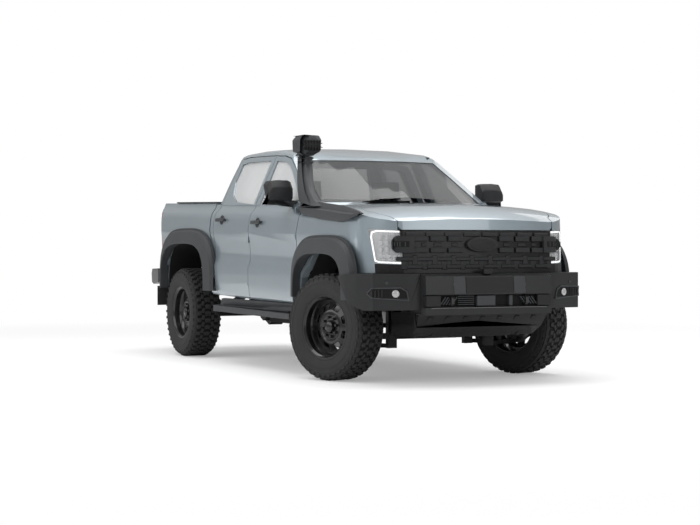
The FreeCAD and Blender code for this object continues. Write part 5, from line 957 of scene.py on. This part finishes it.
# %% [markdown]
# ## Mirrors, handles, rails and sills
# The mirror head is a soft-cornered shell on a foot, parted by a dark seam. Door handles are pull bars over
# round cups. Each handle is laid on its door by a ray from the side and rides with it. The bed's rails get
# caps, the sills get steps, and a wide shield closes the nose from below.

# %% Mirrors
for side, name in SIDES:
    low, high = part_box("mirror_" + name)
    inner, outer = (low.y, high.y) if side > 0 else (high.y, low.y)
    rings = []
    for share, drop, rise in ((0.18, 0.014, 0.014), (0.30, 0.002, 0.002), (0.62, 0.0, 0.0),
                              (0.90, 0.004, 0.006), (1.0, 0.018, 0.040)):
        y = inner + (outer - inner) * share
        front, back = high.x - drop, low.x + drop * 0.3
        bottom, top = low.z + 0.020 + drop * 0.5, high.z - rise
        rings.append([Vector(spot) for spot in (
            (back, y, bottom), (front - 0.05, y, bottom), (front, y, bottom + 0.05), (front, y, top - 0.06),
            (front - 0.05, y, top), (back, y, top))])
    shell = grown(rings, 0.016, 4)
    foot = grown([[Vector((low.x + dx, y, low.z + up - dz))
                   for dx, up in ((0.03, 0.0), (0.11, 0.0), (0.11, 0.055), (0.03, 0.055))]
                  for y, dz in ((inner - 0.010 * side, 0.0), (inner + 0.12 * side, -0.012),
                                (inner + 0.20 * side, -0.030))], 0.008)
    body = BODY_OF["mirror_" + name]
    finish(shell, "mirror_head_" + name, body, "dark_trim", angle=50)
    finish(foot, "mirror_foot_" + name, body, "textured_plastic", "mirror_" + name)
    seam = block(((low.x + high.x) / 2 - 0.004, (inner + outer) / 2 + 0.022 * side, low.z + 0.075),
                 ((high.x - low.x) * 0.99, abs(outer - inner) * 0.78, 0.003), 0.001)
    pane = block((low.x + 0.004, (inner + outer) / 2 + 0.02 * side, (low.z + high.z) / 2 + 0.01),
                 (0.006, abs(outer - inner) * 0.66, (high.z - low.z) * 0.62), 0.0025)
    finish(seam, "mirror_seam_" + name, body, "void_black")
    finish(pane, "mirror_pane_" + name, body, "lamp_silver")

# %% Door handles, one model laid four times
for side, name in SIDES:
    toward = Vector((0, -side, 0))
    for door, x, z in (("rear_door_", -0.539, 1.292), ("front_door_", 0.329, 1.258)):
        spot, normal = meet(surface_of(door + name), Vector((x, AHEAD * side, z)), toward)
        along = Vector((1, 0, 0))
        turn = Matrix((along, normal.cross(along).normalized(), normal)).transposed()
        cup = turned(((0.0, -0.004), (0.042, -0.004), (0.044, 0.003), (0.038, 0.005), (0.030, 0.001),
                      (0.0, -0.001)), 40)
        cup.data.transform(Matrix.Rotation(math.pi / 2, 4, "X"))
        pull = block((0, 0, 0.022), (0.205, 0.032, 0.016), 0.0075, segments=3)
        posts = [block((dx, 0, 0.009), (0.030, 0.026, 0.020), 0.004) for dx in (-0.085, 0.085)]
        handle = joined([cup, pull] + posts)
        handle.data.transform(Matrix.Translation(spot) @ turn.to_4x4())
        finish(handle, door + "handle_" + name, BODY_OF[door + name], "textured_plastic")

# %% Bed rail caps and sills
bed_face = surface_of("bed_body")
for side, name in SIDES:
    edge = []
    for x in (-2.40, -1.9, -1.4, -0.86):
        spot, _ = meet(bed_face, Vector((x, 0.835 * side, AHEAD)), Vector((0, 0, -1)))
        if spot is not None:
            edge.append(spot)
    cap_parts = [bar(a, b, Vector((0, 0, 1)), 0.090, 0.012, 0.004) for a, b in zip(edge, edge[1:])]
    finish(joined(cap_parts), "rail_cap_" + name, "vehicle", "textured_plastic")
    sill = grown([[Vector((x, y * side, z)) for y, z in ((0.890, 0.520), (0.935, 0.524), (0.928, 0.580),
                                                        (0.890, 0.584))] for x in (-0.56, 1.20)], 0.004)
    ridge = [block((0.33, y * side, 0.5235), (1.70, 0.014, 0.005), 0.002) for y in (0.955, 0.975, 0.995)]
    finish(sill, "sill_" + name, "vehicle", "textured_plastic")
    finish(joined(ridge), "step_ridges_" + name, "vehicle", "dark_trim")

# %% Skid plate, full width, with slanted ribs
SKID_LINE = ((2.640, 0.560, 0.545), (2.560, 0.555, 0.440), (2.440, 0.540, 0.365), (2.050, 0.500, 0.352),
             (1.990, 0.480, 0.362))
rings = [[Vector((x, -wide, z)), Vector((x, wide, z)), Vector((x, wide * 0.98, z + 0.012)),
          Vector((x, -wide * 0.98, z + 0.012))] for x, wide, z in SKID_LINE]
shield = grown(rings, 0.004, 2)
ribs = []
for k in range(7):
    middle = (k - 3) * 0.150
    start, end = Vector((2.615, middle, 0.512)), Vector((2.450, middle - 0.05, 0.368))
    ribs.append(bar(start, end, Vector((0.7, 0, -0.7)), 0.040, 0.006, 0.002))
skirts = [grown([[Vector((x, wide * side, z)), Vector((x, (wide - 0.012) * side, z)),
                  Vector((x, (wide - 0.012) * side, max(z, 0.545))), Vector((x, wide * side, max(z, 0.545)))]
                 for x, wide, z in SKID_LINE[1:4]], 0.002) for side in (1, -1)]
finish(joined([shield] + ribs + skirts), "skid_shield", "vehicle", "chassis_black", "skid_plate")
print("body trimmed")

# %% [markdown]
# ## Seats
# A seat is foam under cloth: it swells between its seams, its sides pull in between the corners and sewn
# channels run down it. We start each cushion from a finely divided cube and move its vertices by such a rule.

# %% Stuffed cushions
def cushion(name, centre, size, channels, lean, node):
    """A crowned closed form with sewn channels across its outer face (+Z before it leans)."""
    bpy.ops.mesh.primitive_cube_add(size=1)
    thing = bpy.context.object
    edit(thing, SELECT_ALL,
         (bpy.ops.mesh.subdivide, {"number_cuts": 27}))
    for vertex in thing.data.vertices:
        u, v, w = vertex.co * 2
        crown = 1 - 0.34 * (abs(u) ** 4 + abs(v) ** 4) / 2 - 0.16 * (abs(u) * abs(v)) ** 3
        pull_u = 1 - 0.035 * (1 - v * v) - 0.16 * abs(w) ** 4
        pull_v = 1 - 0.035 * (1 - u * u) - 0.16 * abs(w) ** 4
        seam = sum(math.exp(-((v - line) / 0.045) ** 2) for line in channels) * 0.11 if w > 0.5 else 0.0
        piping = 0.02 * math.exp(-((abs(w) - 0.62) / 0.05) ** 2)
        vertex.co = (u * (pull_u + piping) / 2, v * (pull_v + piping) / 2, w * (crown - seam) / 2)
    thing.data.transform(Matrix.Translation(Vector(centre)) @ Matrix.Rotation(math.radians(lean), 4, "Y")
                         @ Matrix.Diagonal((*size, 1)))
    finish(thing, name, "vehicle", "seat_cloth", node, angle=60)
    return thing


# %% Front seats and rear bench
SEAT_MIDDLE = 0.388
for side, name in SIDES:
    y = SEAT_MIDDLE * side
    cushion("seat_base_" + name, (0.555, y, 0.893), (0.52, 0.50, 0.135), (-0.45, 0.45), -4,
            "front_seats")
    cushion("seat_back_" + name, (0.215, y, 1.185), (0.58, 0.48, 0.115), (-0.45, 0.45), 76,
            "front_seats")
    cushion("headrest_" + name, (0.150, y, 1.555), (0.155, 0.27, 0.085), (), 80, "front_seats")
    posts = [block((0.158, y + dy, 1.478), (0.012, 0.012, 0.075), 0.004) for dy in (-0.06, 0.06)]
    plinth = grown([level_ring(0.33, 0.78, y - 0.20, y + 0.20, 0.662),
                    level_ring(0.36, 0.76, y - 0.17, y + 0.17, 0.760),
                    level_ring(0.31, 0.80, y - 0.23, y + 0.23, 0.835)], 0.008)
    finish(joined([plinth] + posts), "seat_frame_" + name, "vehicle", "satin_plastic")
cushion("bench_base", (-0.300, 0, 0.905), (0.47, 1.24, 0.150), (-0.34, 0.34), -3, "rear_seat")
cushion("bench_back", (-0.612, 0, 1.185), (0.50, 1.24, 0.100), (-0.34, 0.34), 80, "rear_seat")
plinth = grown([level_ring(-0.52, -0.08, -0.60, 0.60, 0.662, 0.05),
                level_ring(-0.53, -0.07, -0.60, 0.60, 0.832, 0.05)], 0.008)
finish(plinth, "bench_frame", "vehicle", "satin_plastic")
print("seats padded")

# %% [markdown]
# ## Floor and light
# A studio uses a big soft light overhead and pale walls. The floor is pale and keeps the shadow, and the
# camera, gloss and glass see a white room.

# %% White room and pale floor
world = bpy.data.worlds.new("studio")
world.use_nodes = True
bpy.context.scene.world = world
sky = world.node_tree
room = sky.nodes["Background"]
shown = sky.nodes.new("ShaderNodeBackground")
shown.inputs["Color"].default_value = grey(1.0)
shown.inputs["Strength"].default_value = 1.0
way = sky.nodes.new("ShaderNodeTexCoord")
split = sky.nodes.new("ShaderNodeSeparateXYZ")
sky.links.new(way.outputs["Generated"], split.inputs[0])
ramp = sky.nodes.new("ShaderNodeValToRGB")
ROOM_STOPS = ((0.0, 0.35), (0.46, 0.42), (0.56, 0.62), (0.8, 1.0), (1.0, 1.0))
while len(ramp.color_ramp.elements) < len(ROOM_STOPS):
    ramp.color_ramp.elements.new(0.5)
for stop, (spot, level) in zip(ramp.color_ramp.elements, ROOM_STOPS):
    stop.position = spot
    stop.color = grey(level)
height = Field(sky, split.outputs[2]) * 0.5 + 0.5
plug(sky, ramp.inputs[0], height)
sky.links.new(ramp.outputs[0], room.inputs["Color"])
room.inputs["Strength"].default_value = 0.62
seen = sky.nodes.new("ShaderNodeLightPath")
chooser = sky.nodes.new("ShaderNodeMixShader")
sky.links.new(seen.outputs["Is Camera Ray"], chooser.inputs[0])
sky.links.new(room.outputs[0], chooser.inputs[1])
sky.links.new(shown.outputs[0], chooser.inputs[2])
sky.links.new(chooser.outputs[0], sky.nodes["World Output"].inputs[0])

FLOOR_REACH = 60
bpy.ops.mesh.primitive_plane_add(size=FLOOR_REACH, location=(0, 0, 0))
floor = bpy.context.object
floor.name = "studio_floor"
pale = Finish("pale_floor")
speck = pale.noise(30.0)
floor_paint = pale.surface(Base_Color=pale.mix(speck, grey(0.90), grey(0.93)), Roughness=0.9)
glow = pale.node("ShaderNodeEmission", inputs={"Color": grey(1.0), "Strength": 1.0})
from_camera = pale.node("ShaderNodeLightPath", output="Is Camera Ray")
distance = pale.node("ShaderNodeVectorMath", {"operation": "LENGTH"}, {0: pale.place}, output="Value")
NEAR_FLOOR, FAR_FLOOR, NEAR_GLOW = 4.0, 9.0, 0.28
away = distance.between(NEAR_FLOOR, FAR_FLOOR) * (1 - NEAR_GLOW) + NEAR_GLOW
share = pale.node("ShaderNodeMixShader", inputs={
    0: from_camera * away, 1: Field(pale.tree, pale.shader.outputs[0]), 2: glow})
plug(pale.tree, pale.tree.nodes["Material Output"].inputs["Surface"], share)
floor.data.materials.append(floor_paint)


# %% Soft lamps
def soft_lamp(name, place, aim, size, power):
    lamp_data = bpy.data.lights.new(name, "AREA")
    lamp_data.shape = "RECTANGLE"
    lamp_data.size, lamp_data.size_y = size
    lamp_data.energy = power
    lamp_object = bpy.data.objects.new(name, lamp_data)
    bpy.context.collection.objects.link(lamp_object)
    lamp_object.location = place
    lamp_object.rotation_euler = (Vector(aim) - Vector(place)).to_track_quat("-Z", "Y").to_euler()


soft_lamp("overhead", (0.3, 0, 6.5), (0, 0, 0), (9, 5), 430)
soft_lamp("side_card", (1.0, -8.5, 5.2), (0, 0, 1.0), (14, 5), 420)
soft_lamp("far_card", (0.0, 8.5, 5.2), (0, 0, 1.0), (14, 5), 200)
soft_lamp("front_fill", (10.0, 2.0, 3.0), (1, 0, 0.8), (5, 3), 110)
